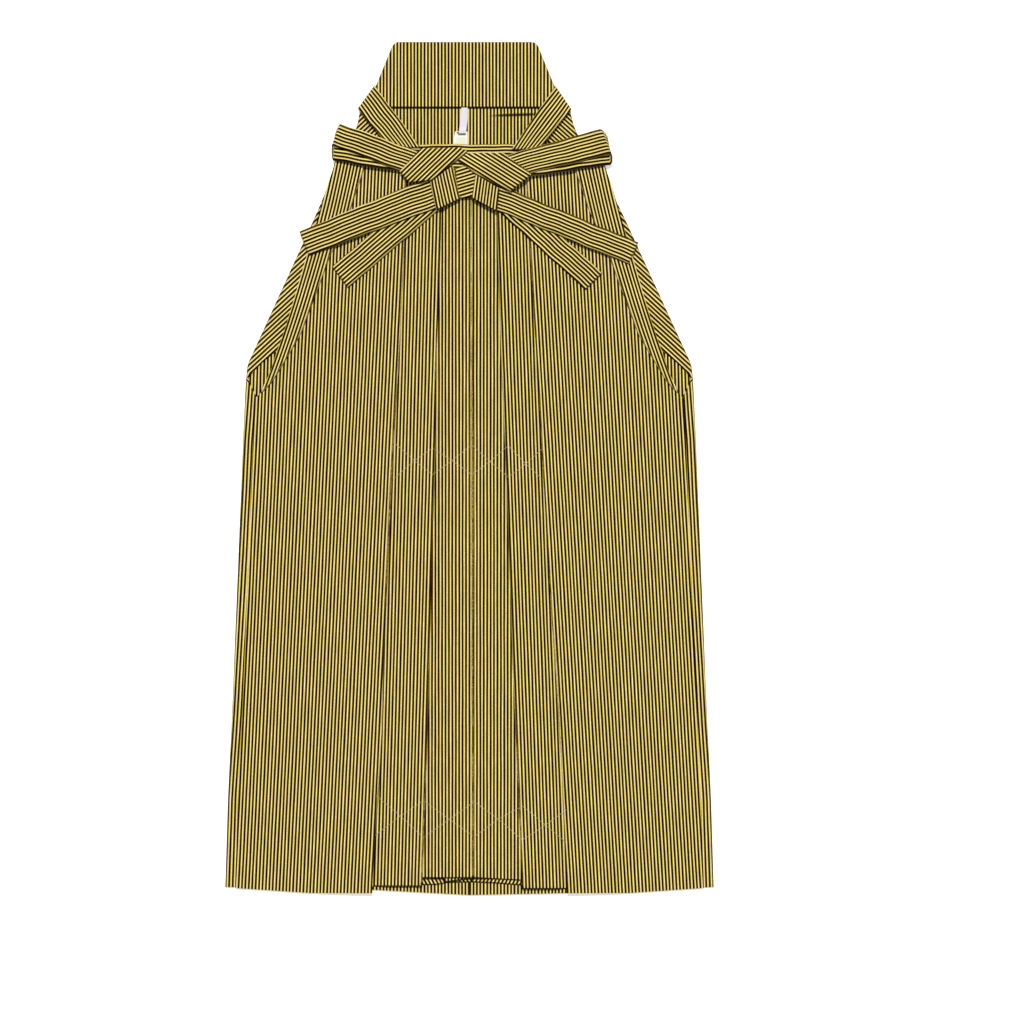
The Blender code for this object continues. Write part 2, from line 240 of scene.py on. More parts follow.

# How far each pleat's edge springs open along its length, from 0 to 1000, which also sets how
# dark the painted shade along it is, or below nothing how far it is rubbed pale
SPRUNG = Table(
    "height left_outer left_inner left_centre right_inner right_outer",
    (890, 100, 500, -250, 200, 100),
    (770, 250, 900, -300, 500, 200),
    (720, 350, 1000, -350, 900, 250),
    (660, 150, 700, -400, 650, 600),
    (630, 100, 250, -450, 300, 850),
    (600, 100, 600, -600, 300, 500),
    (560, 50, 1000, -950, 400, 100),
    (520, -200, 700, -1000, 700, 50),
    (480, -600, 550, -1000, 1000, 700),
    (430, -500, 500, -950, 700, 800),
    (390, -100, 800, -800, 600, 500),
    (360, 300, 950, -600, 1000, 50),
    (320, 900, 700, -500, 800, -50),
    (270, 1000, 250, -450, 500, -500),
    (200, 200, 900, -400, 300, -100),
    (150, 800, 300, -400, 50, 250),
    (90, 950, -250, -400, -250, 250),
    (40, 800, -450, -400, 400, 700),
    (10, 1000, 400, -400, 700, 900),
)


def up(height):
    return height - MIDDLE


def smooth(value, low, high):
    share = np.clip((value - low) / (high - low), 0, 1)
    return share * share * (3 - 2 * share)


def lean(height):
    """How far the board and the top of the back lie to one side of the legs' centre line."""
    return BOARD_LEAN * smooth(height, LEAN_FROM, BOARD_BOTTOM)


# Soft troughs and ridges


def creases(*rows):
    """Each row: where a crease lies, its length, its turn from upright, its width and how high
    it stands."""
    return [dict(zip(("x", "height", "length", "turn", "width", "lift"), row)) for row in rows]


CREASES = creases(
    (-0.205, 0.400, 0.240, 4, 0.014, 0.00045),
    (-0.165, 0.230, 0.170, -3, 0.010, 0.00035),
    (-0.232, 0.150, 0.130, 9, 0.012, 0.00040),
    (-0.140, 0.560, 0.150, 3, 0.009, 0.00035),
    (-0.188, 0.620, 0.120, 14, 0.011, 0.00030),
    (0.150, 0.480, 0.210, -4, 0.012, 0.00040),
    (0.212, 0.330, 0.180, -7, 0.014, 0.00050),
    (0.176, 0.180, 0.140, 2, 0.010, 0.00035),
    (0.238, 0.090, 0.110, -11, 0.012, 0.00040),
    (0.190, 0.600, 0.130, -15, 0.010, 0.00030),
    (0.128, 0.330, 0.120, -2, 0.008, 0.00030),
    (-0.120, 0.080, 0.100, 5, 0.008, 0.00030),
)

# Each wave of the cloth: its share, and how it runs across, up and from where it starts
WAVES = ((1.0, 21, 6, 0.0), (0.5, 47, -15, 1.3))
SWELL = 0.00022
SWELL_BASE = 1.5
LOWEST_SHARE = 0.15
FULL_LAYERS = 5
STRAPS_FROM = 0.690
STRAPS_FULL = 0.722


def relief(x, height):
    """How far the cloth stands over the pressed form, always upwards."""
    waves = sum(share * np.sin(a * x + b * height + start) for share, a, b, start in WAVES)
    lift = SWELL * (SWELL_BASE + waves)
    for crease in CREASES:
        lift += folded(crease, x, height)
    return lift * (1 - smooth(height, STRAPS_FROM, STRAPS_FULL))


def swelling(x, height, z):
    """The relief's share at a height in the stack: the lowest layers lie flattest."""
    share = np.minimum(z / (FULL_LAYERS * LAYER), 1)
    return relief(x, height) * (LOWEST_SHARE + (1 - LOWEST_SHARE) * share)


# The creases of the back below the board. The first is sharp, with a line of painted shade under it.
NECK_CREASES = creases(
    (0.0560, 0.9345, 0.056, -88, 0.0017, 0.00140),
    (0.0400, 0.9290, 0.030, -86, 0.0030, 0.00030),
    (-0.0700, 0.9310, 0.036, 84, 0.0030, 0.00025),
)
NECK_ROWS = np.arange(0.9270, 0.9420, 0.0006)
CREASE_SHADE = 0.0009
CREASE_SEEN = 0.02


def folded(crease, x, height):
    """How high one crease stands at a place."""
    turn = math.radians(crease["turn"])
    dx = x - crease["x"]
    dh = height - crease["height"]
    across = dx * math.cos(turn) + dh * math.sin(turn)
    along = dh * math.cos(turn) - dx * math.sin(turn)
    near = np.exp(-((across / crease["width"]) ** 2) - (2 * along / crease["length"]) ** 4)
    return crease["lift"] * near


# Sections across the legs


def spaced(count, length, start, end):
    """Shares along a line, with two more close to each end that is a free edge."""
    shares = list(np.linspace(0, 1, count + 1))
    close = [step / max(length, 0.001) for step in EDGE_STEPS]
    shares += close if start else []
    shares += [1 - share for share in close] if end else []
    return sorted(shares)


class Section:
    """One row across a folded panel, from its outer edge inwards. Each point has its distance
    from the centre line, its level, its hem and its place across the cloth."""

    def __init__(self, distance, level, hem):
        self.points = [(distance, level, hem)]
        self.edges = []
        self.groups = [0]
        self.anchors = []
        self.own = []

    def line(self, distance, level, hem, count, start=False, end=False):
        d0, l0, h0 = self.points[-1]
        for share in spaced(count, abs(distance - d0), start, end)[1:]:
            eased = share * share * (3 - 2 * share)
            spot = (d0 + (distance - d0) * share, l0 + (level - l0) * eased, h0 + (hem - h0) * share)
            self.points.append(spot)

    def fold(self, edge, level, hem, count, shade_share=0.0, start=False):
        """Runs to a fold's edge and turns over there to another level."""
        d0, l0, _ = self.points[-1]
        way = 1 if edge > d0 else -1
        radius = abs(level - l0) * LAYER / 2
        centre = edge - way * radius
        self.line(centre, l0, hem, count, start=start)
        for angle in np.linspace(0, math.pi, FOLD_STEPS + 1)[1:]:
            turned = (l0 + level) / 2 + (l0 - level) / 2 * math.cos(angle)
            self.points.append((centre + way * radius * math.sin(angle), turned, hem))
        self.edges.append((len(self.points) - 1 - FOLD_STEPS // 2, shade_share))

    def anchor(self, across):
        """Fixes the cloth's stripes at the point reached: this far from their first thread."""
        self.anchors.append((len(self.points) - 1, across))

    def cut(self):
        """What follows takes its stripes from the next anchor."""
        self.groups.append(len(self.points) - 1)

    def lengths(self):
        spots = np.array([(d, level * LAYER) for d, level, _ in self.points])
        return np.append(0, np.cumsum(np.hypot(*np.diff(spots, axis=0).T)))

    def across(self):
        """Each point's place across the cloth, for the quads before it and after it."""
        length = self.lengths()
        before = np.zeros(len(length))
        after = np.zeros(len(length))
        bounds = self.groups + [len(length) - 1]
        for (first, last), (index, value) in zip(zip(bounds, bounds[1:]), self.anchors):
            run = value - (length - length[index])
            after[first : last + 1] = run[first : last + 1]
            before[first + 1 : last + 1] = run[first + 1 : last + 1]
        if self.own:
            last = len(self.own) - 1
            after[:last] = self.own[:last]
            before[1 : last + 1] = self.own[1:]
        return before, after

    def fold_shade_marks(self):
        """The distance to the nearest fold edge, and that fold's share of painted shade, which for the
        front's pleats is also how far they spring open.
        """
        length = self.lengths()
        marks = [(length[index], shade_share) for index, shade_share in self.edges]
        near = np.array([[abs(spot - mark) for mark, _ in marks] for spot in length])
        chosen = near.argmin(axis=1)
        return near.min(axis=1), np.array([marks[index][1] for index in chosen])


def front_base(x, height):
    """Layers of cloth under the front, and the extra lift over the spatula."""
    outward = smooth(abs(x), CENTRE_REACH, SIDE_START)
    layers = CENTRE_LAYERS + (SIDE_LAYERS - CENTRE_LAYERS) * outward
    near = 1 - smooth(abs(x - SPATULA_AT), LIFT_NEAR, LIFT_FAR)
    above = smooth(height, LIFT_FROM, LIFT_FULL)
    return layers * LAYER + SPATULA_LIFT * near * above


def front_z(x, height, level):
    return front_base(x, height) + (level - 1) * LAYER + WALL / 2


def back_z(x, height, level):
    return level * LAYER + WALL / 2


def front_side(height):
    """The front panel's side edge: under the tuck above, at the side seam below."""
    above = TUCK.at("outer", max(height, OPENING_FOOT)) - STRIP_TURN_IN
    below = BACK.at("fold", height) - SEAM_INSET
    low, high = OPENING_EASE
    return below + (above - below) * smooth(height, OPENING_FOOT + low, OPENING_FOOT + high)


def pleats(side, height):
    """Each pleat's name, fold edge and depth, from the side of the leg to the centre."""
    named = [
        (f"{side}_outer", PLEATS.at(f"{side}_outer", height), DEPTHS.at("outer", height)),
        (f"{side}_inner", PLEATS.at(f"{side}_inner", height), DEPTHS.at("inner", height)),
    ]
    if side == "left":
        fold = PLEATS.at("left_centre", height)
        named.append(("left_centre", fold, DEPTHS.at("centre", height)))
    return named


def straight(name, height):
    """A pleat's edge as a straight thread of the cloth would run."""
    if name == "left_centre":
        return 0.0
    column = PLEATS.columns[name]
    heights = PLEATS.columns["height"]
    share = (height - heights[0]) / (heights[-1] - heights[0])
    return column[0] + (column[-1] - column[0]) * share


def front_section(side, height):
    folds = pleats(side, height)
    hems = [(OUTER_HEM, UNDER_OUTER), (INNER_HEM[side], UNDER_INNER), (CENTRE_HEM, UNDER_CENTRE)]
    section = Section(front_side(height), 1, SIDE_HEM)
    first = folds[0]
    section.line(first[1] + first[2] + RISE_LENGTH, 1, OUTER_HEM, PANEL_STEPS, start=True)
    for number, (name, fold, depth) in enumerate(folds):
        hem, under = hems[number]
        turn = fold + depth
        # How far this pleat springs open, which also sets how dark the painted shade along its edge is
        shade_share = SPRUNG.at(name, height)
        section.line(turn + RISE_MARGIN, 3, hem, RISE_STEPS)
        section.fold(fold, 2, hem, PLEAT_STEPS, shade_share)
        section.anchor(2 * fold - section.points[-1][0] - straight(name, height))
        section.fold(turn, 1, under, UNDER_STEPS)
        section.cut()
        if number < len(folds) - 1:
            next_hem = hems[number + 1][0]
            section.line(fold - RISE_MARGIN, 1, next_hem, LEVEL_STEPS)
    if side == "left":
        section.line(CENTRE_SEAM, 1, UNDER_CENTRE, SEAM_STEPS, end=True)
        section.anchor(section.points[-1][0])
    else:
        section.line(SPATULA_CLEAR, 1, CENTRE_HEM, PANEL_STEPS)
        section.anchor(section.points[-1][0])
        section.line(GAP - CENTRE_SEAM, 1, CENTRE_HEM, SEAM_STEPS, end=True)
    return section


def flap_width(height):
    """How far the back's side folds over to the front side."""
    rising = SELVEDGE_SPREAD * (height - SELVEDGE_FOOT)
    above = min(max(rising, SHORTEST_FLAP), BACK.at("flap", height))
    below = min(LAP_SPREAD * (LAP_TOP - height), SEAM_LAP)
    return max(above, below)


def side_line(height):
    """The straight line that the back's side fold follows above the hip, and below it its own
    edge: the distance there and the line's turn from upright, in radians."""
    low, high = HIP, TOP_OF_SIDE
    slope = (BACK.at("fold", low) - BACK.at("fold", high)) / (high - low)
    above = BACK.at("fold", low) + slope * (low - height)
    run = BACK.at("fold", height - SLOPE_SPAN) - BACK.at("fold", height + SLOPE_SPAN)
    own = run / (2 * SLOPE_SPAN)
    low, high = LAP_EASE
    share = smooth(height, LAP_TOP + low, LAP_TOP + high)
    own_edge = BACK.at("fold", height)
    return own_edge + (above - own_edge) * share, math.atan(own + (slope - own) * share)


def back_thread(height):
    """Where the back's first thread runs, from the centre line."""
    return BACK_THREAD + BACK_THREAD_MOVE * (BACK_TOP - height) / BACK_TOP


def flap_across(distance, height):
    """The flap's stripes are the back's, mirrored in the side fold."""
    line, slope = side_line(height)
    width = line - distance
    mirrored = distance + 2 * width * math.cos(slope) ** 2
    return mirrored - back_thread(height + 2 * width * math.sin(slope) * math.cos(slope))


def back_section(side, height):
    fold = BACK.at("fold", height)
    pleat = BACK.at("pleat", height)
    depth = BACK.at("depth", height)
    leaning = SIDES[side] * lean(height)
    hem = SIDE_HEM + MM
    section = Section(fold - flap_width(height) + leaning, 1, hem)
    section.fold(fold + leaning, 0, hem, FLAP_STEPS, SIDE_FOLD_SHADE, start=True)
    edge = section.edges[-1][0]
    section.own = [flap_across(spot[0] - leaning, height) for spot in section.points[: edge + 1]]
    section.line(depth + leaning, 0, UNDER_BACK[side], BACK_STEPS)
    section.fold(pleat + leaning, 1, OUTER_HEM, BACK_PLEAT_STEPS, BACK_PLEAT_SHADE)
    section.anchor(2 * pleat + leaning - section.points[-1][0] - back_thread(height))
    section.fold(depth + leaning, 2, UNDER_BACK[side], BACK_PLEAT_STEPS)
    section.cut()
    section.line(SEAM_GAP + leaning, 2, -HEM_DIP, BACK_CENTRE_STEPS, end=True)
    section.anchor(section.points[-1][0])
    return section


def tuck_thread(height):
    """Where a thread of the tuck runs, from the centre line: steep above, leaning out below."""
    down = FRONT_TOP - height
    return TUCK.at("inner", FRONT_TOP) + down * (TUCK_LEAN + TUCK_BEND * down)


def tuck_section(side, height):
    """The leaf-shaped tuck along the front's side opening, from its outer edge round to below."""
    outer = TUCK.at("outer", height)
    inner = min(TUCK.at("inner", height), outer - STRIP_LEAST)
    section = Section(outer, 3, 0.0)
    section.fold(inner, 2, 0.0, FLAP_STEPS, TUCK_FOLD_SHADE, start=True)
    turned_in = max(outer - STRIP_TURN_IN, inner + STRIP_LEAST)
    section.line(turned_in, 2, 0.0, LEVEL_STEPS, end=True)
    section.anchor(2 * inner - section.points[-1][0] - tuck_thread(height))
    return section


# Closed shells from rows of points


def add_object(name, data):
    made = bpy.data.objects.new(name, data)
    bpy.context.scene.collection.objects.link(made)
    return made


def new_piece(name, verts, faces, finish):
    """Adds a smooth-shaded mesh to the scene."""
    mesh = bpy.data.meshes.new(name)
    mesh.from_pydata(verts, [], faces)
    mesh.polygons.foreach_set("use_smooth", [True] * len(faces))
    mesh.update()
    mesh.materials.append(finish)
    return add_object(name, mesh)


def dress(made, node):
    """Puts a piece under the root, in its solid's place, and hides the solid."""
    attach(made, "root")
    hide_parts(node)


def surface_tree(piece):
    """A piece's surface, for reading its height at a place."""
    points = [piece.matrix_world @ vert.co for vert in piece.data.vertices]
    return BVHTree.FromPolygons(points, [tuple(face.vertices) for face in piece.data.polygons])


def quad_corners(before, after):
    """The four corners of each quad of a grid, with one grid's values for a quad's right side
    and another's for its left."""
    corners = before[:-1, 1:], before[1:, 1:]
    return np.stack([after[:-1, :-1], *corners, after[1:, :-1]], axis=2).reshape(-1, 4)


def shell(name, parts, finish):
    """One closed mesh from parts, each a grid of middle points with its thickness, its weave and the
    coordinates of its painted shade and wear. Top and bottom share the points of the grid's border."""
    verts = []
    faces = []
    layers = {"weave": [], "shade_and_wear": []}
    for part in parts:
        middle, thick = part["middle"], part["thick"]
        rows, columns = thick.shape
        along = np.gradient(middle, axis=0)
        sideways = np.gradient(middle, axis=1)
        normal = np.cross(sideways, along)
        normal /= np.maximum(np.linalg.norm(normal, axis=2, keepdims=True), 1e-12)
        base = len(verts)
        top = middle + normal * thick[..., None] / 2
        bottom = middle - normal * thick[..., None] / 2
        verts += top.reshape(-1, 3).tolist()
        upper = base + np.arange(rows * columns).reshape(rows, columns)
        lower = upper.copy()
        inner = bottom[1:-1, 1:-1].reshape(-1, 3)
        lower[1:-1, 1:-1] = len(verts) + np.arange(len(inner)).reshape(rows - 2, columns - 2)
        verts += inner.tolist()
        across = quad_corners(part["before"], part["after"])
        along, near, shade_share = (quad_corners(part[key], part[key]) for key in ("along", "near", "shade_share"))
        for grid, way in ((upper, 1), (lower, -1)):
            faces += quad_corners(grid, grid)[:, ::way].tolist()
            layers["weave"].append(np.stack([across, along], axis=2)[:, ::way])
            layers["shade_and_wear"].append(np.stack([near, shade_share], axis=2)[:, ::way])
    made = new_piece(name, verts, faces, finish)
    for layer, values in layers.items():
        spots = made.data.uv_layers.new(name=layer).uv
        spots.foreach_set("vector", np.concatenate(values).astype(np.float32).ravel())
    return made


def plain_part(middle, thick, across, along, near, shade_share):
    """A part whose cloth runs on through every point."""
    part = {"middle": middle, "thick": thick, "before": across, "after": across}
    return {**part, "along": along, "near": near, "shade_share": shade_share}


def rounded(near, thickness, radius=None):
    """The thickness at a distance from the free edge: nothing at it, full past its rounding."""
    radius = radius or thickness / 2
    share = 1 - np.clip(near / radius, 0, 1)
    return thickness * np.sqrt(np.clip(1 - share**2, 0, 1))


def with_ends(low, steps, inner, high):
    """Inner values in order, with closer ones at their two ends."""
    return [*(low + step for step in steps), *inner, *(high - step for step in steps[::-1])]


def leg_rows(top, low, more):
    """Shares of the height, closer together at the hem and the top edge, and at more heights."""
    length = top - low
    count = int(math.ceil(length / ROW_STEP))
    close = [step / length for step in (*EDGE_STEPS, *HEM_STEPS)]
    even = np.linspace(0, 1, count + 1)
    if len(more):
        heights = low + even * length
        even = even[(heights <= more[0] - MM) | (heights >= more[-1] + MM)]
        close += [(height - low) / length for height in more]
    return sorted([*even, *close, *(1 - step / length for step in EDGE_STEPS)])


def lined(near, shade_share, line):
    """The shade coordinates with a line of painted shadow added, given the distance from it."""
    return np.minimum(near, line), np.where(line < SHADE_REACH, 1.0, shade_share)


def front_edges(side, x, height, hems, level, near, shade_share):
    """How far the front's folds spring open, and its shade coordinates with a painted shadow
    line along the pleats' hem."""
    open_edge = np.maximum(shade_share, 0) * np.exp(-((near / SPRING_REACH) ** 2))
    free = 1 - smooth(height, STRAPS_FROM, STRAPS_FULL)
    upper = np.clip((level - SPRING_LEVEL) / SPRING_LEVELS, 0, 1)
    inside = abs(x) < PLEATS.at(f"{side}_outer", 0)
    # Painted shadow: a dark line along the hems inside the outer pleats, where each panel lies over the
    # one below
    line = np.where(inside, HEM_FADE * np.maximum(height - hems - HEM_LINE, 0), FAR)
    return SPRING * open_edge * free * upper, *lined(near, shade_share, line)


def back_edges(side, x, height, hems, level, near, shade_share):
    """How high the back's creases below the board stand, and its shade coordinates with painted
    shade under the sharp one and a painted shadow line along the top edge."""
    top_layer = np.clip(level - 1, 0, 1)
    lift = sum(folded(crease, x, height) for crease in NECK_CREASES) * top_layer
    sharp = NECK_CREASES[0]
    # Painted shade: a dark line just below the sharp crease
    under = {**sharp, "height": sharp["height"] - CREASE_SHADE}
    dark = folded(under, x, height) / sharp["lift"] * top_layer
    near = np.where(dark > CREASE_SEEN, SHADE_REACH * (1 - dark), near)
    shade_share = np.where(dark > CREASE_SEEN, 1.0, shade_share)
    # Painted shadow: a dark line along the top edge, just under the board's edge
    line = HEM_FADE * np.maximum(BACK_TOP - height - TOP_LINE, 0)
    return lift, *lined(near, shade_share, line)


def leg_part(side, section_at, z_of, top, edges=None, low=0.0, thickness=CLOTH, more=()):
    """The grid of a folded panel, from the hem up to its top edge."""
    levels = np.arange(low - SECTION_STEP * 2, top + SECTION_STEP, SECTION_STEP)
    made = [section_at(side, height) for height in levels]
    spots = np.array([section.points for section in made])
    across = np.array([section.across() for section in made])
    fold_shade_marks = np.array([section.fold_shade_marks() for section in made])
    columns = {
        "distance": spots[..., 0],
        "level": spots[..., 1],
        "length": np.array([section.lengths() for section in made]),
        "before": across[:, 0],
        "after": across[:, 1],
        "near": fold_shade_marks[:, 0],
        "shade_share": fold_shade_marks[:, 1],
    }
    hems = spots[2, :, 2]
    shares = np.array(leg_rows(top, low, more))[:, None]
    height = low + hems + shares * (top - low - hems)

    def read(name):
        grid = columns[name]
        return np.array([np.interp(height[:, k], levels, grid[:, k]) for k in range(len(hems))]).T

    level, near, shade_share = read("level"), read("near"), read("shade_share")
    x = SIDES[side] * read("distance")
    z = z_of(x, height, level)
    raised = swelling(x, height, z)
    if edges:
        lift, near, shade_share = edges(side, x, height, hems, level, near, shade_share)
        raised += lift
    length = read("length")
    rim = np.minimum(length, length[:, -1:] - length)
    rim = np.minimum(rim, np.minimum(shares, 1 - shares) * (top - low))
    part = {
        "middle": np.stack([x, up(height), z + raised], axis=2),
        "before": read("before"),
        "after": read("after"),
        "along": height,
        "near": near,
        "shade_share": shade_share,
        "thick": rounded(rim, thickness),
    }
    if SIDES[side] > 0:
        part = {key: value[:, ::-1] for key, value in part.items()}
        part["before"], part["after"] = part["after"], part["before"]
    return part


# Stretches of the belt

STRAP_COLUMN = 0.0030
STRAP_ROW = 0.0030
STRAP_EDGES = np.array([0.0, 0.00012, 0.0004, 0.0009])
STRAP_INNER = 0.0030
TURN_STEPS = 6

# The sewn lip along one side of a crossing
LIP_WIDTH = 0.0030
LIP_ROUND = 0.0005
LIP_DEPTH = 0.0006
LIP_CLEAR = 0.0036
LIP_STEPS = (0.0030, 0.0026, 0.0018)

# Each wave of a stretch's sides: its size, how fast it turns, and how far the phase moves it
STRAP_WAVES = ((0.00035, 95, 7), (0.0002, 211, 13))
WAVE_SIDEWAYS = 0.4
WAVE_FROM = 0.0040

# How an end turns down over the edge of what it lies on
DROP = 0.0014
DROP_REACH = 0.0016


def read_height(tree, x, height, above):
    """The middle of a belt that has the surface at a place as its upper or lower face."""
    way = -1 if above else 1
    hit = tree.ray_cast(Vector((x, up(height), -way * FAR)), Vector((0, 0, way)))[0]
    return None if hit is None else hit.z + way * STRAP / 2


def softened(values, passes=2):
    """A row of heights with its corners eased, its ends kept."""
    eased = np.array(values)
    for _ in range(passes):
        eased[1:-1] = (eased[:-2] + 2 * eased[1:-1] + eased[2:]) / 4
    return eased


def strap_run(tree, run, above):
    """A run's two side lines at close steps, and its height there, read from the solid."""
    ends = np.array(run, float).reshape(-1, 2, 2) * MM
    steps = np.linalg.norm(np.diff(ends.mean(axis=1), axis=0), axis=1)
    lengths = np.append(0, np.cumsum(steps))
    count = max(int(round(lengths[-1] / STRAP_ROW)), 3)
    spots = np.linspace(0, lengths[-1], count + 1)
    sides = np.array([np.interp(spots, lengths, column) for column in ends.reshape(-1, 4).T]).T
    a, b = sides[:, :2], sides[:, 2:]
    found = [read_height(tree, *spot, above) for spot in (a + b) / 2]
    known = [index for index, z in enumerate(found) if z is not None]
    z = np.interp(range(len(found)), known, [found[index] for index in known])
    return a, b, softened(z)


def strap_path(name, runs):
    """A stretch's two side lines and its heights. A loop has a second run over its first, and
    the belt turns over between them."""
    tree = surface_tree(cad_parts[name])
    a, b, z = strap_run(tree, runs[0], len(runs) == 1)
    for run in runs[1:]:
        next_a, next_b, next_z = strap_run(tree, run, True)
        rise = next_z[0] - z[-1]
        ahead = a[-1] + b[-1] - a[-2] - b[-2]
        ahead /= np.linalg.norm(ahead)
        angles = np.linspace(0, math.pi, TURN_STEPS + 1)[1:-1, None]
        share = (1 - np.cos(angles)) / 2
        bulge = ahead * np.sin(angles) * rise / 2
        turn_a = a[-1] + (next_a[0] - a[-1]) * share + bulge
        turn_b = b[-1] + (next_b[0] - b[-1]) * share + bulge
        a = np.vstack([a, turn_a, next_a])
        b = np.vstack([b, turn_b, next_b])
        z = np.concatenate([z, z[-1] + rise * share[:, 0], next_z])
    return a, b, z


def dropped(distance):
    return DROP * (1 - np.clip(distance / DROP_REACH, 0, 1)) ** 2


def strap_columns(nominal, lip):
    """Shares across a stretch, closer together at its sides and where a lip ends."""
    inner = np.linspace(STRAP_INNER, nominal - STRAP_INNER, int(round(nominal / STRAP_COLUMN)))
    if lip:
        inner = [*inner[inner < nominal - LIP_CLEAR], *(nominal - step for step in LIP_STEPS)]
    return np.array(with_ends(0, STRAP_EDGES, inner, nominal))[None, :] / nominal


def strap_rows(along, columns):
    """Values along a stretch, with more rows close to its two ends."""
    order = range(len(along))
    close = np.interp(STRAP_EDGES, along, order)
    far = np.interp(along[-1] - STRAP_EDGES[::-1], along, order)
    rows = [*close, *order[1:-1], *far]
    return np.array([np.interp(rows, order, column) for column in columns])[..., None]


def facing_down(a, b, place, width, first_half, at_end):
    """How far each edge of a stretch faces down the picture, away from the light: how dark its
    painted shade is there.
    """
    outward = (b[1] - a[1]) / width
    sides = np.clip(-outward * np.sign(place - 0.5), 0, 1)
    ahead = np.gradient(a + b, axis=1)
    ahead = ahead[1] / np.linalg.norm(ahead, axis=0)
    ends = np.clip(np.where(first_half, ahead, -ahead), 0, 1)
    return np.where(at_end, ends, sides)


def strap(
    name, rests, *runs, drop_start=False, drop_end=False, lip=False, phase=0.0, slant=None, line=BELT_LINE
):
    """A flat belt stretch, folded from the striped cloth. What it rests on, rests, is not used. Its
    stripes run along it, or all one way where it is pulled straight through the knot: slant is their
    turn in degrees."""
    a, b, z = strap_path(name, runs)
    steps = np.diff(np.column_stack([(a + b) / 2, z]), axis=0)
    along = np.append(0, np.cumsum(np.linalg.norm(steps, axis=1)))
    width = np.linalg.norm(b - a, axis=1)
    nominal, total = float(np.median(width)), along[-1]
    place = strap_columns(nominal, lip)
    picked = strap_rows(along, np.column_stack([a, b, z, along, width]).T)
    a, b, (z, along, width) = picked[:2], picked[2:4], picked[4:]

    end = np.minimum(along, total - along)
    waves = sum(size * np.sin(along * rate + phase * shift) for size, rate, shift in STRAP_WAVES)
    waves = waves * np.minimum(end / WAVE_FROM, 1)
    drop = drop_start * dropped(along) + drop_end * dropped(total - along)
    x = a[0] + (b[0] - a[0]) * place + WAVE_SIDEWAYS * waves
    y = up(a[1] + (b[1] - a[1]) * place + waves)
    across = (place - 0.5) * width
    if slant is not None:
        turn = math.radians(slant)
        across = x * math.sin(turn) - y * math.cos(turn)

    side = np.minimum(place, 1 - place) * width
    rim = np.minimum(side, end)
    thick = rounded(rim, STRAP)
    if lip:
        inset = (1 - place) * width
        thick -= LIP_DEPTH * np.clip((LIP_WIDTH - inset) / LIP_ROUND, 0, 1) * (inset > LIP_ROUND)
    middle = np.stack([x, y, z - drop + 0 * x], axis=2)
    # Painted shade along the stretch's rim, darkest on the sides and ends that face away from the light
    near = np.maximum(rim - line, 0) * BELT_SHADE
    shade_share = facing_down(a, b, place, width, along < total / 2, end < side)
    part = plain_part(middle, thick, across + phase, along + phase + 0 * x, near, shade_share)
    over_x, over_y = (b - a)[:, 0, 0]
    way_x, way_y = (a + b)[:, -1, 0] - (a + b)[:, 0, 0]
    if over_x * way_y - over_y * way_x < 0:
        part = {key: value[:, ::-1] for key, value in part.items()}
    made = shell(f"{name}_cloth", [part], BELT_FINISH)
    dress(made, name)
    rests_on = [f"{other}_cloth" for other in rests.split()]


# Materials


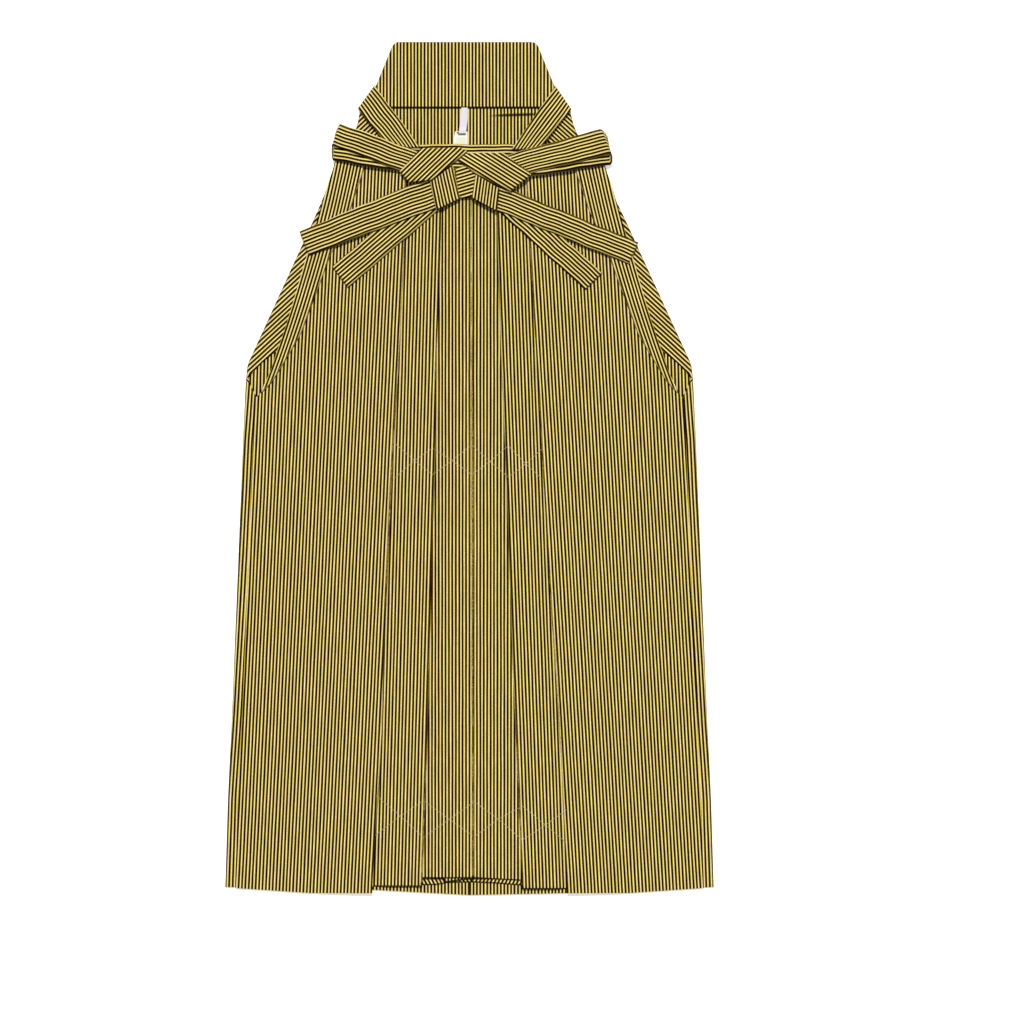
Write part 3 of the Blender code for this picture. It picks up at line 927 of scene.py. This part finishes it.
class Nodes:
    """Adds shader nodes in a row, with short calls for what the cloth needs."""

    def __init__(self, name, roughness, specular=0.3, sheen=0.0):
        self.material = bpy.data.materials.new(name)
        self.material.use_nodes = True
        self.tree = self.material.node_tree
        self.inputs = self.tree.nodes["Principled BSDF"].inputs
        self.inputs["Roughness"].default_value = roughness
        self.inputs["Specular IOR Level"].default_value = specular
        self.inputs["Sheen Weight"].default_value = sheen
        self.inputs["Sheen Roughness"].default_value = 0.5

    def put(self, socket, value):
        if isinstance(value, bpy.types.NodeSocket):
            self.tree.links.new(value, socket)
        else:
            socket.default_value = value

    def add(self, kind, values=(), output=0, **settings):
        """Adds a node and returns one output. Its sockets' values are in order, or by name."""
        node = self.tree.nodes.new(kind)
        for key, value in settings.items():
            setattr(node, key, value)
        for key, value in values.items() if isinstance(values, dict) else enumerate(values):
            self.put(node.inputs[key], value)
        return node.outputs[output]

    def math(self, operation, *values, clamp=False):
        return self.add("ShaderNodeMath", values, operation=operation, use_clamp=clamp)

    def times(self, *values, clamp=False):
        return self.math("MULTIPLY", *values, clamp=clamp)

    def scaled(self, value, low, high, to_low=0.0, to_high=1.0):
        values = (value, low, high, to_low, to_high)
        return self.add("ShaderNodeMapRange", values, interpolation_type="SMOOTHSTEP")

    def place(self, x, y, z=0.0):
        return self.add("ShaderNodeCombineXYZ", (x, y, z))

    def noise(self, vector, scale, detail=2.0):
        values = {"Vector": vector, "Scale": scale, "Detail": detail, "Roughness": 0.5}
        return self.add("ShaderNodeTexNoise", values, "Fac")

    def random(self, vector):
        return self.add("ShaderNodeTexWhiteNoise", {"Vector": vector}, "Value", noise_dimensions="2D")

    def mix(self, share, first, second, blend="MIX"):
        values = {"Factor": share, 6: first, 7: second}
        return self.add("ShaderNodeMix", values, 2, data_type="RGBA", blend_type=blend)

    def ramp(self, value, stops):
        node = self.tree.nodes.new("ShaderNodeValToRGB")
        self.put(node.inputs["Fac"], value)
        elements = node.color_ramp.elements
        for place, colour in stops[1:-1]:
            elements.new(place).color = (*colour, 1)
        elements[0].position, elements[0].color = stops[0][0], (*stops[0][1], 1)
        elements[len(stops) - 1].position = stops[-1][0]
        elements[len(stops) - 1].color = (*stops[-1][1], 1)
        return node.outputs["Color"]

    def toned(self, colour, tone):
        return self.mix(1.0, colour, self.place(tone, tone, tone), "MULTIPLY")

    def split(self, vector):
        return [self.add("ShaderNodeSeparateXYZ", (vector,), axis) for axis in (0, 1)]

    def uv(self, name):
        return self.split(self.add("ShaderNodeUVMap", uv_map=name))

    def spot(self):
        return self.add("ShaderNodeTexCoord", output="Object")

    def paint(self, colour):
        self.put(self.inputs["Base Color"], colour)

    def bump(self, height, distance, strength):
        values = {"Strength": strength, "Distance": distance, "Height": height}
        self.put(self.inputs["Normal"], self.add("ShaderNodeBump", values))


# The stripes' repeat and how far they wander, and a thread's width and a rib's height
STRIPE = 0.0041
STRIPE_DRIFT = 0.0012
DRIFT_ACROSS = 12.0
DRIFT_SCALE = 9.0
THREAD = 0.00021
RIB = 0.00042
RIB_RELIEF = 0.00006

# How much single stitches and slubs in the yarn are darker or paler
STITCH_TONES = (0.72, 1.22)
SLUB_TONES = (0.82, 1.12)
SLUB_ACROSS = 900.0
SLUB_ALONG = 30.0

# How far from a fold the cloth is rubbed pale, at least and where it is rubbed most
RUBBED_REACH = 0.0022
RUBBED_MORE = 0.0042
RUBBED_SCALE = 520.0
WORN_ACROSS = 3.0
WORN_SCALE = 45.0

BLACK = (0.0022, 0.0014, 0.0004)
BROWN = (0.075, 0.028, 0.002)
GOLD = (0.80, 0.60, 0.018)
OCHRE = (0.38, 0.22, 0.008)
WHITE = (1.00, 0.91, 0.60)
RUBBED_STOPS = [
    (0.34, (0.10, 0.055, 0.015)),
    (0.47, (0.33, 0.21, 0.06)),
    (0.56, (0.38, 0.24, 0.11)),
    (0.68, (0.62, 0.50, 0.26)),
]
STRIPE_STOPS = [
    (0.00, BLACK),
    (0.37, BLACK),
    (0.40, BROWN),
    (0.44, OCHRE),
    (0.49, GOLD),
    (0.63, GOLD),
    (0.65, WHITE),
    (0.79, WHITE),
    (0.82, GOLD),
    (0.88, OCHRE),
    (0.94, BROWN),
    (1.00, BLACK),
]


def striped_cloth(name, roughness, painted_shade, press_tan):
    """Warp-striped ribbed cloth: stripes across the weave, ribs along it, and painted shade
    that darkens it along its folds and edges.
    """
    nodes = Nodes(name, roughness, specular=0.02)
    across, along = nodes.uv("weave")
    near, shade_share = nodes.uv("shade_and_wear")
    place = nodes.place(across, along)
    drift = nodes.noise(nodes.place(nodes.times(across, DRIFT_ACROSS), along), DRIFT_SCALE)
    shift = nodes.times(nodes.math("SUBTRACT", drift, 0.5), STRIPE_DRIFT)
    moved = nodes.math("ADD", across, shift)
    phase = nodes.math("FRACT", nodes.math("DIVIDE", moved, STRIPE))
    colour = nodes.ramp(phase, STRIPE_STOPS)

    thread = nodes.math("DIVIDE", moved, THREAD)
    offset = nodes.times(nodes.math("FLOOR", thread), 0.5)
    pick = nodes.math("ADD", nodes.math("DIVIDE", along, RIB), offset)
    cell = nodes.random(nodes.place(nodes.math("FLOOR", thread), nodes.math("FLOOR", pick)))
    colour = nodes.toned(colour, nodes.scaled(cell, 0.0, 1.0, *STITCH_TONES))
    streak = nodes.place(nodes.times(across, SLUB_ACROSS), nodes.times(along, SLUB_ALONG))
    slub = nodes.noise(streak, 1.0)
    colour = nodes.toned(colour, nodes.scaled(slub, 0.25, 0.75, *SLUB_TONES))

    worn = nodes.place(nodes.times(across, WORN_ACROSS), along)
    worn = nodes.noise(worn, WORN_SCALE, detail=3.0)
    rubbed = nodes.math("MAXIMUM", nodes.times(shade_share, -1.0), 0.0)
    reach = nodes.math("ADD", nodes.times(rubbed, RUBBED_MORE), RUBBED_REACH)
    crest = nodes.scaled(near, nodes.times(reach, 0.4), reach, 1.0, 0.0)
    flat = nodes.scaled(shade_share, 0.1, 0.6, 1.0, 0.15)
    patchy = nodes.math("MAXIMUM", nodes.scaled(worn, 0.30, 0.58), nodes.times(rubbed, 0.7))
    fade = nodes.times(crest, patchy, clamp=True)
    fade = nodes.times(fade, flat)
    tan = nodes.ramp(nodes.noise(place, RUBBED_SCALE), RUBBED_STOPS)
    colour = nodes.mix(nodes.times(fade, press_tan), colour, tan)
    # Painted shade: near fold edges, hems and edges the cloth is mixed towards black, for the shadow
    # there
    beside = nodes.scaled(near, SHADE_FROM, SHADE_REACH, 1.0, 0.0)
    shade = nodes.times(beside, shade_share, clamp=True)
    shade = nodes.times(shade, painted_shade, clamp=True)
    colour = nodes.mix(shade, colour, (*BLACK, 1))
    nodes.paint(colour)

    knuckle = nodes.math("SINE", nodes.times(pick, 2 * math.pi))
    round_thread = nodes.math("SINE", nodes.times(nodes.math("FRACT", thread), math.pi))
    height = nodes.times(nodes.math("ADD", knuckle, 1.2), round_thread)
    nodes.bump(height, RIB_RELIEF, 0.35)
    return nodes.material


def window(nodes, across, along, centre, half, soft):
    """A soft-edged rectangle: one inside it, nothing outside."""
    shares = []
    for value, middle, reach in zip((across, along), centre, half):
        away = nodes.math("ABSOLUTE", nodes.math("SUBTRACT", value, middle))
        shares.append(nodes.scaled(away, reach - soft, reach + soft, 1.0, 0.0))
    return nodes.times(*shares)


# The marks on the tongue: each one's middle, half size, softness and colour. The second is the
# tape's slot, drawn as painted shade.
MARKS = (
    ((-0.0100, up(0.9030)), (0.0056, 0.0042), 0.0013, (0.83, 0.87, 0.64, 1)),
    ((-0.0090, up(0.9100)), (0.0046, 0.0010), 0.0004, (0.17, 0.10, 0.035, 1)),
    ((-0.0139, up(0.9120)), (0.0012, 0.0011), 0.0004, (0.012, 0.016, 0.05, 1)),
)


def plain_plastic():
    """Milky plastic, clearer in its middle, with the slot that the tape goes through drawn as a
    line of painted shade.
    """
    nodes = Nodes("milky_plastic", 0.38)
    cloud = nodes.noise(nodes.spot(), 160.0, detail=3.0)
    colour = nodes.ramp(cloud, [(0.3, (0.88, 0.88, 0.84)), (0.7, (0.97, 0.97, 0.94))])
    across, along = nodes.uv("weave")
    for centre, half, soft, mark in MARKS:
        share = window(nodes, across, along, centre, half, soft)
        colour = nodes.mix(share, colour, mark)
    nodes.paint(colour)
    nodes.bump(cloud, 0.0001, 0.1)
    return nodes.material


# The tape's repeats across and along it
TAPE_WARP = 0.0005
TAPE_WEFT = 0.0006


def woven_tape():
    nodes = Nodes("woven_tape", 0.8, specular=0.2, sheen=0.2)
    across, along = nodes.split(nodes.spot())
    warp = nodes.math("SINE", nodes.times(across, 2 * math.pi / TAPE_WARP))
    weft = nodes.math("SINE", nodes.times(along, 2 * math.pi / TAPE_WEFT))
    weave = nodes.times(warp, weft)
    stops = [(0.0, (0.66, 0.63, 0.70)), (1.0, (0.96, 0.93, 0.97))]
    colour = nodes.ramp(nodes.scaled(weave, -1.0, 1.0), stops)
    nodes.paint(colour)
    nodes.bump(weave, 0.00008, 0.5)
    return nodes.material


def cotton_thread():
    nodes = Nodes("basting_thread", 0.85, specular=0.2, sheen=0.2)
    twist = nodes.noise(nodes.spot(), 400.0)
    colour = nodes.ramp(twist, [(0.3, (0.50, 0.42, 0.22)), (0.7, (0.90, 0.84, 0.62))])
    nodes.paint(colour)
    return nodes.material


CLOTH_FINISH = striped_cloth("striped_cloth", roughness=0.62, painted_shade=0.9, press_tan=0.75)
BELT_FINISH = striped_cloth("striped_belt", roughness=0.60, painted_shade=0.97, press_tan=0.25)
BOARD_FINISH = striped_cloth("board_cloth", roughness=0.62, painted_shade=0.95, press_tan=0.3)


# Pieces


# The turned-up ply that shows below the centre panels' hem: its lower edge, and its stripes' turn
FACING = {
    "left": (((-0.0570, 0.0095), (-0.0400, 0.0095), (-0.0260, 0.0122), (0.0040, 0.0128)), 28),
    "right": (((0.0035, 0.0128), (0.0300, 0.0115), (0.0640, 0.0090)), -26),
}
FACING_TOP = 0.0300
FACING_COLUMN = 0.0030
FACING_SHARES = np.array([0, 0.01, *np.linspace(0.03, 0.97, 40), 1])[:, None]
FACING_LEVEL = 0.47
FACING_CLOTH = 0.0003
FACING_FADE = 2
FACING_RIM = 0.018


def facing_part(side):
    """A short flat ply between the centre panel's hem and the back."""
    corners, slant = FACING[side]
    turn = math.radians(slant)
    low_x, low = np.array(corners).T
    count = int(round((low_x[-1] - low_x[0]) / FACING_COLUMN))
    columns = np.linspace(low_x[0], low_x[-1], count)
    bottom = np.interp(columns, low_x, low)
    x = columns[None, :] + 0 * FACING_SHARES
    height = bottom + (FACING_TOP - bottom) * FACING_SHARES
    z = front_z(x, height, FACING_LEVEL)
    z = z + swelling(x, height, z)
    across = x * math.cos(turn) + height * math.sin(turn)
    rim = np.minimum(FACING_SHARES, 1 - FACING_SHARES) * FACING_RIM
    rim = np.minimum(rim, np.minimum(x - low_x[0], low_x[-1] - x))
    # Painted shadow: dark lines along the ply's lower edge and just below the centre panel's hem
    edge = np.minimum(height - bottom, abs(height - CENTRE_HEM))
    middle = np.stack([x, up(height), z], axis=2)
    near = np.maximum(edge - HEM_LINE, 0) * FACING_FADE
    return plain_part(middle, rounded(rim, FACING_CLOTH), across, height, near, rim * 0 + 1)


def build_legs():
    for side in SIDES:
        back = leg_part(side, back_section, back_z, BACK_TOP, back_edges, more=NECK_ROWS)
        made = shell(f"back_{side}_cloth", [back], CLOTH_FINISH)
        dress(made, f"back_{side}")
        front = leg_part(side, front_section, front_z, FRONT_TOP, front_edges)
        tuck = leg_part(
            side, tuck_section, front_z, FRONT_TOP, low=STRIP_TIP, thickness=STRIP_CLOTH
        )
        made = shell(f"front_{side}_cloth", [front, tuck, facing_part(side)], CLOTH_FINISH)
        dress(made, f"front_{side}")


def build_belt():
    """The belt's stretches, lowest first. Each row is a cross edge's two ends, in millimetres
    from the centre line and up from the hem."""
    fronts = "front_left front_right"
    band_left = (-157, 898, -158.5, 881), (-75, 898, -75, 868)
    band_right = (75, 898, 75, 866), (157, 898, 158.5, 879)
    strap("waistband", fronts, [*band_left, *band_right], phase=0.2014)
    strap(
        "back_tie_left",
        "koshi_board back_left",
        [(-113.9, 969, -134, 940.7), (-58.4, 893.5, -95.5, 893.5)],
        drop_start=True,
        phase=0.4,
    )
    strap(
        "back_tie_right",
        "koshi_board back_right",
        [(103.1, 968.3, 122.3, 940.1), (50.2, 891.6, 82.0, 891.6)],
        drop_start=True,
        phase=0.6,
    )
    short_left = (-47.4, 850.4, -22, 832), (-165.2, 751.4, -145.9, 725.8)
    strap("tail_short_left", "front_left", short_left, phase=0.8)
    short_right = (36.6, 854.4, 14, 836.8), (159.4, 744, 139.1, 723.6)
    strap("tail_short_right", "front_right", short_right, phase=1.0)
    long_left = (-22, 866, -18, 829.6), (-83, 844, -74, 808.4), (-204.1, 793.4, -192.6, 764.4)
    strap("tail_long_left", "front_left tail_short_left", long_left, phase=1.2)
    long_right = (14, 858, 10, 828), (202.9, 780.4, 190.7, 754.3)
    strap("tail_long_right", "front_right tail_short_right", long_right, phase=1.4)
    strap("knot_band", fronts, [(-17, 869, -14, 833), (7.5, 876, 9, 834)], phase=1.6, slant=17)
    strap(
        "loop_left",
        "waistband back_tie_left",
        [(-66, 891.6, -76, 863.5), (-160.6, 908.4, -163.4, 878.4)],
        [(-154.2, 922.8, -163.9, 897.0), (-52, 886, -74, 862.5)],
        phase=1.8,
        line=LOOP_LINE,
    )
    strap(
        "loop_right",
        "waistband back_tie_right",
        [(58, 888.6, 72, 858.5), (165.2, 905.5, 168.6, 873.6)],
        [(156.6, 916.1, 169.2, 885.6), (40, 883.5, 66, 861.5)],
        phase=2.0,
        line=LOOP_LINE,
    )
    wrap_left = (-47.4, 853.2, -19.6, 872.5), (-39.6, 818.4, -11.0, 832.2)
    strap("wrap_left", "knot_band tail_long_left", wrap_left, phase=2.2)
    wrap_right = (7.2, 861.8, 36.1, 844.7), (3.0, 832.9, 33.0, 816.8)
    strap("wrap_right", "knot_band tail_long_right", wrap_right, phase=2.4)
    strap(
        "cross_left",
        "loop_left waistband",
        [(-83.9, 865.1, -72, 852.1), (-58.2, 892.9, -46.4, 853.2), (-12.4, 894.4, -1.6, 889.6)],
        drop_start=True,
        lip=True,
        phase=2.6,
        slant=44,
    )
    strap(
        "cross_right",
        "loop_right cross_left",
        [(-4.6, 886.4, -14.2, 877.9), (40.4, 888.1, 8, 862.5), (74.8, 861.8, 49.1, 841.1)],
        drop_end=True,
        lip=True,
        phase=2.8,
        slant=-32,
    )


# Flat stiff pieces


def corner_cut(beyond, radius):
    """How far a rounded corner draws a side in, this far past the start of its rounding."""
    share = max(beyond, 0) / radius
    return radius * (1 - math.sqrt(max(1 - share**2, 0)))


def plate(heights, places, edges_at, z):
    """A flat grid between two side edges, and how far each of its points lies from the rim.
    edges_at gives its middle and its half width at a height."""
    centre, half = np.array([edges_at(height) for height in heights]).T[..., None]
    heights, places = np.array(heights)[:, None], np.array(places)[None, :]
    x = centre + half * places
    ends = np.minimum(heights - heights[0], heights[-1] - heights)
    near = np.minimum(half * (1 - abs(places)), ends)
    return np.stack([x, up(heights) + 0 * x, z + 0 * x], axis=2), near


def plate_part(middle, thick, near, shade_share, thread=0.0):
    """A plate as a part of a shell, its threads running straight up."""
    return plain_part(middle, thick, middle[..., 0] + thread, middle[..., 1], near, shade_share)


BOARD_ROUND = 0.0022
BOARD_POWER = 2.6
BOARD_CORNER = 0.0020
BOARD_FOOT_CORNER = 0.0012
BOARD_SEAM_SHADE = 0.0010
BOARD_FADE = 2
BOARD_EDGE_SHADE = 0.15
BOARD_OVER = 0.0009
BOARD_FOOT = BOARD_BOTTOM - BOARD_OVER
BOARD_STEPS = np.array([0.0, 0.00006, 0.0003, 0.0008, 0.0015, 0.0024])
BOARD_ROWS = np.linspace(BOARD_BOTTOM + 0.005, BOARD_TOP - 0.005, 18)
BOARD_INSET = 0.0040
BOARD_COLUMNS = 60
BOARD_THREAD = 0.0013


def board_edges(height):
    heights = (BOARD_BOTTOM, BOARD_SHOULDER, BOARD_CHAMFER, BOARD_TOP)
    halves = (BOARD_HALF_BOTTOM, BOARD_HALF_SHOULDER, BOARD_HALF_CHAMFER, BOARD_HALF_TOP)
    half = float(np.interp(height, heights, halves))
    half -= corner_cut(height - BOARD_TOP + BOARD_CORNER, BOARD_CORNER)
    half -= corner_cut(BOARD_FOOT + BOARD_FOOT_CORNER - height, BOARD_FOOT_CORNER)
    return BOARD_LEAN, half


def build_board():
    """A stiff board with the striped cloth drawn tight over it and round its edges."""
    heights = with_ends(BOARD_FOOT, BOARD_STEPS, BOARD_ROWS, BOARD_TOP)
    widest = BOARD_HALF_BOTTOM
    inset = 1 - BOARD_INSET / widest
    places = with_ends(-1, BOARD_STEPS / widest, np.linspace(-inset, inset, BOARD_COLUMNS), 1)
    middle, near = plate(heights, places, board_edges, BOARD_THICK / 2)
    share = 1 - np.clip(near / BOARD_ROUND, 0, 1)
    thick = BOARD_THICK * (1 - share**BOARD_POWER) ** (1 / BOARD_POWER)
    # Painted shadow: a dark line along the board's lower edge, where it stands over the back, and faint
    # painted shade round the rest of its rim
    seam = middle[..., 1] - up(BOARD_FOOT)
    near = np.where(seam < near + MM, np.maximum(near - BOARD_SEAM_SHADE, 0) * BOARD_FADE, near)
    shade_share = np.where(seam < near + MM, 1.0, BOARD_EDGE_SHADE)
    part = plate_part(middle, np.maximum(thick, 0), near, shade_share, BOARD_THREAD)
    made = shell("koshi_board_cloth", [part], BOARD_FINISH)
    dress(made, "koshi_board")


# The blade's two edges: it widens to one side where it goes under the waistband
BLADE = Table(
    "height left right",
    (914, -17.3, -2.3),
    (898, -19.9, -1.9),
    (855, -19.0, -1.4),
)
BLADE_CORNER = 0.0012
BLADE_ROUND = 0.0006
BLADE_STEPS = np.array([0.0, 0.00008, 0.0003, 0.0007])
BLADE_ROWS = np.linspace(SPATULA_BOTTOM + 0.0015, SPATULA_TOP - 0.0015, 30)
BLADE_COLUMNS = np.linspace(-0.88, 0.88, 15)
TAPE = Table(
    "height left right",
    (943, -9.6, -2.0),
    (928, -11.2, -2.0),
    (910, -13.0, -4.4),
)
TAPE_END = 0.9112
TAPE_CLOTH = 0.0007
TAPE_CURL = 0.00015
TAPE_STEPS = np.array([0.0, 0.0001, 0.0003])
TAPE_ROWS = np.linspace(TAPE_END, RIBBON_TOP, 40)
TAPE_COLUMNS = np.linspace(-0.8, 0.8, 9)


def tape_edges(height, table=TAPE):
    left, right = table.at("left", height), table.at("right", height)
    return (left + right) / 2, (right - left) / 2


def blade_edges(height):
    centre, half = tape_edges(height, BLADE)
    nearest = min(SPATULA_TOP - height, height - SPATULA_BOTTOM)
    return centre, half - corner_cut(BLADE_CORNER - nearest, BLADE_CORNER)


def build_spatula():
    """The small plastic tongue below the board, and the tape that holds it."""
    low = CENTRE_LAYERS * LAYER
    heights = with_ends(SPATULA_BOTTOM, BLADE_STEPS, BLADE_ROWS, SPATULA_TOP)
    places = with_ends(-1, BLADE_STEPS / SPATULA_HALF_TOP, BLADE_COLUMNS, 1)
    middle, near = plate(heights, places, blade_edges, low + SPATULA_THICK / 2)
    part = plate_part(middle, rounded(near, SPATULA_THICK, BLADE_ROUND), near, near * 0)
    blade = shell("spatula_blade", [part], plain_plastic())
    dress(blade, "spatula")

    beside = low + WALL / 2
    over = beside + SPATULA_LIFT
    heights = np.sort([*TAPE_ROWS, *(TAPE_END + TAPE_STEPS[1:]), *(RIBBON_TOP - TAPE_STEPS[1:])])
    places = with_ends(-1, TAPE_STEPS / RIBBON_HALF, TAPE_COLUMNS, 1)
    curl = np.maximum(TAPE_CURL * np.cos(np.array(places) * math.pi), 0)
    z = over + (beside - over) * smooth(heights[:, None], RIBBON_RISEN, RIBBON_RISE) + curl
    middle, near = plate(heights, places, tape_edges, z)
    part = plate_part(middle, rounded(near, TAPE_CLOTH), near, near * 0)
    tape = shell("spatula_tape", [part], woven_tape())
    dress(tape, "spatula_ribbon")


# The two rows of white basting across the pleats: two threads a row that cross between them
BASTING = {
    "basting_upper": Table(
        "x first second",
        (-89.8, 539.8, 498.0),
        (-65.9, 518.9, 518.9),
        (-44.4, 502.0, 533.8),
        (-21.0, 518.9, 518.9),
        (2.8, 537.7, 502.0),
        (24.6, 517.8, 517.8),
        (46.6, 499.0, 536.8),
        (67.4, 514.9, 514.9),
        (87.0, 532.8, 496.9),
    ),
    "basting_lower": Table(
        "x first second",
        (-112.6, 117.7, 70.0),
        (-82.8, 92.8, 92.8),
        (-55.4, 67.0, 110.8),
        (-24.0, 88.8, 88.8),
        (5.8, 109.7, 67.9),
        (34.7, 88.8, 88.8),
        (63.5, 64.0, 104.8),
        (91.3, 81.8, 81.8),
        (117.0, 100.8, 60.0),
    ),
}
THREAD_RADIUS = 0.00017
THREAD_STEP = 0.0024
THREAD_SIDES = 6
THREAD_SINK = 0.0006


def thread_tube(points):
    """A thin round tube along a line of points, its ends sunk into the cloth."""
    verts, faces = [], []
    for index, point in enumerate(points):
        before, after = points[max(index - 1, 0)], points[min(index + 1, len(points) - 1)]
        ahead = (after - before).normalized()
        side = ahead.cross(Vector((0, 0, 1))).normalized()
        over = side.cross(ahead)
        for corner in range(THREAD_SIDES):
            angle = 2 * math.pi * corner / THREAD_SIDES
            out = side * math.cos(angle) + over * math.sin(angle)
            verts.append(tuple(point + out * THREAD_RADIUS))
    for index in range(len(points) - 1):
        for corner in range(THREAD_SIDES):
            beside = (corner + 1) % THREAD_SIDES
            low, high = index * THREAD_SIDES, (index + 1) * THREAD_SIDES
            faces.append((low + corner, low + beside, high + beside, high + corner))
    last = len(verts) - THREAD_SIDES
    faces.append(tuple(reversed(range(THREAD_SIDES))))
    faces.append(tuple(range(last, len(verts))))
    return verts, faces


def build_basting():
    trees = [surface_tree(bpy.data.objects[f"front_{side}_cloth"]) for side in SIDES]

    def surface(x, height):
        hits = [tree.ray_cast(Vector((x, up(height), FAR)), Vector((0, 0, -1)))[0] for tree in trees]
        return max(hit.z for hit in hits if hit is not None)

    finish = cotton_thread()
    for name, table in BASTING.items():
        verts, faces = [], []
        for thread in ("first", "second"):
            corners = list(zip(table.columns["x"], table.columns[thread]))
            spots = []
            for (x0, h0), (x1, h1) in zip(corners, corners[1:]):
                count = int(math.hypot(x1 - x0, h1 - h0) / THREAD_STEP)
                spots += [(x0 + (x1 - x0) * k / count, h0 + (h1 - h0) * k / count) for k in range(count)]
            spots.append(corners[-1])
            tops = [surface(*spot) + THREAD_RADIUS for spot in spots]
            taut = [max(tops[max(k - 1, 0) : k + 2]) for k in range(len(tops))]
            taut = softened(taut)
            taut[0] -= THREAD_SINK
            taut[-1] -= THREAD_SINK
            line = [Vector((x, up(height), z)) for (x, height), z in zip(spots, taut)]
            more_verts, more_faces = thread_tube(line)
            faces += [tuple(corner + len(verts) for corner in face) for face in more_faces]
            verts += more_verts
        made = new_piece(name, verts, faces, finish)
        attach(made, "root")


# Floor, light and camera

# The camera looks straight down. Its sensor's width is in millimetres.
FRAME_WIDTH = 1.2288
FRAME_CENTRE = (0.0510, -0.0522)
CAMERA_HEIGHT = 9.0
SENSOR = 36.0

FLOOR_SIZE = 8
FLOOR_DROP = 0.0004
FLOOR_GLOW = 0.5

# The sun's spread is in degrees
AMBIENT = 0.30
SUNLIGHT = 2.68
SUN_SPREAD = 8
SUN_FROM = (-0.06, 0.45, 0.89)


def studio_floor():
    nodes = Nodes("studio_floor", 0.9, specular=0.1)
    grain = nodes.noise(nodes.spot(), 3.0, detail=4.0)
    colour = nodes.ramp(grain, [(0.2, (0.90, 0.90, 0.895)), (0.8, (0.94, 0.94, 0.935))])
    nodes.paint(colour)
    nodes.inputs["Emission Color"].default_value = (1, 1, 1, 1)
    nodes.inputs["Emission Strength"].default_value = FLOOR_GLOW
    return nodes.material


def build_studio():
    bpy.ops.mesh.primitive_plane_add(size=FLOOR_SIZE, location=(0, 0, -FLOOR_DROP))
    floor = bpy.context.object
    floor.name = "studio_floor"
    floor.data.materials.append(studio_floor())

    camera = bpy.data.cameras.new("camera")
    camera.sensor_width = SENSOR
    camera.lens = SENSOR * CAMERA_HEIGHT / FRAME_WIDTH
    holder = add_object("camera", camera)
    holder.location = (*FRAME_CENTRE, CAMERA_HEIGHT)
    bpy.context.scene.camera = holder

    world = bpy.data.worlds.new("studio")
    world.use_nodes = True
    background = world.node_tree.nodes["Background"]
    background.inputs["Color"].default_value = (1, 1, 1, 1)
    background.inputs["Strength"].default_value = AMBIENT
    bpy.context.scene.world = world
    bpy.context.scene.view_settings.view_transform = "Standard"

    light = bpy.data.lights.new("window", "SUN")
    light.energy = SUNLIGHT
    light.angle = math.radians(SUN_SPREAD)
    lamp = add_object("window", light)
    lamp.rotation_euler = (-Vector(SUN_FROM)).to_track_quat("-Z", "Y").to_euler()


build_studio()
build_legs()
build_board()
build_spatula()
build_belt()
build_basting()
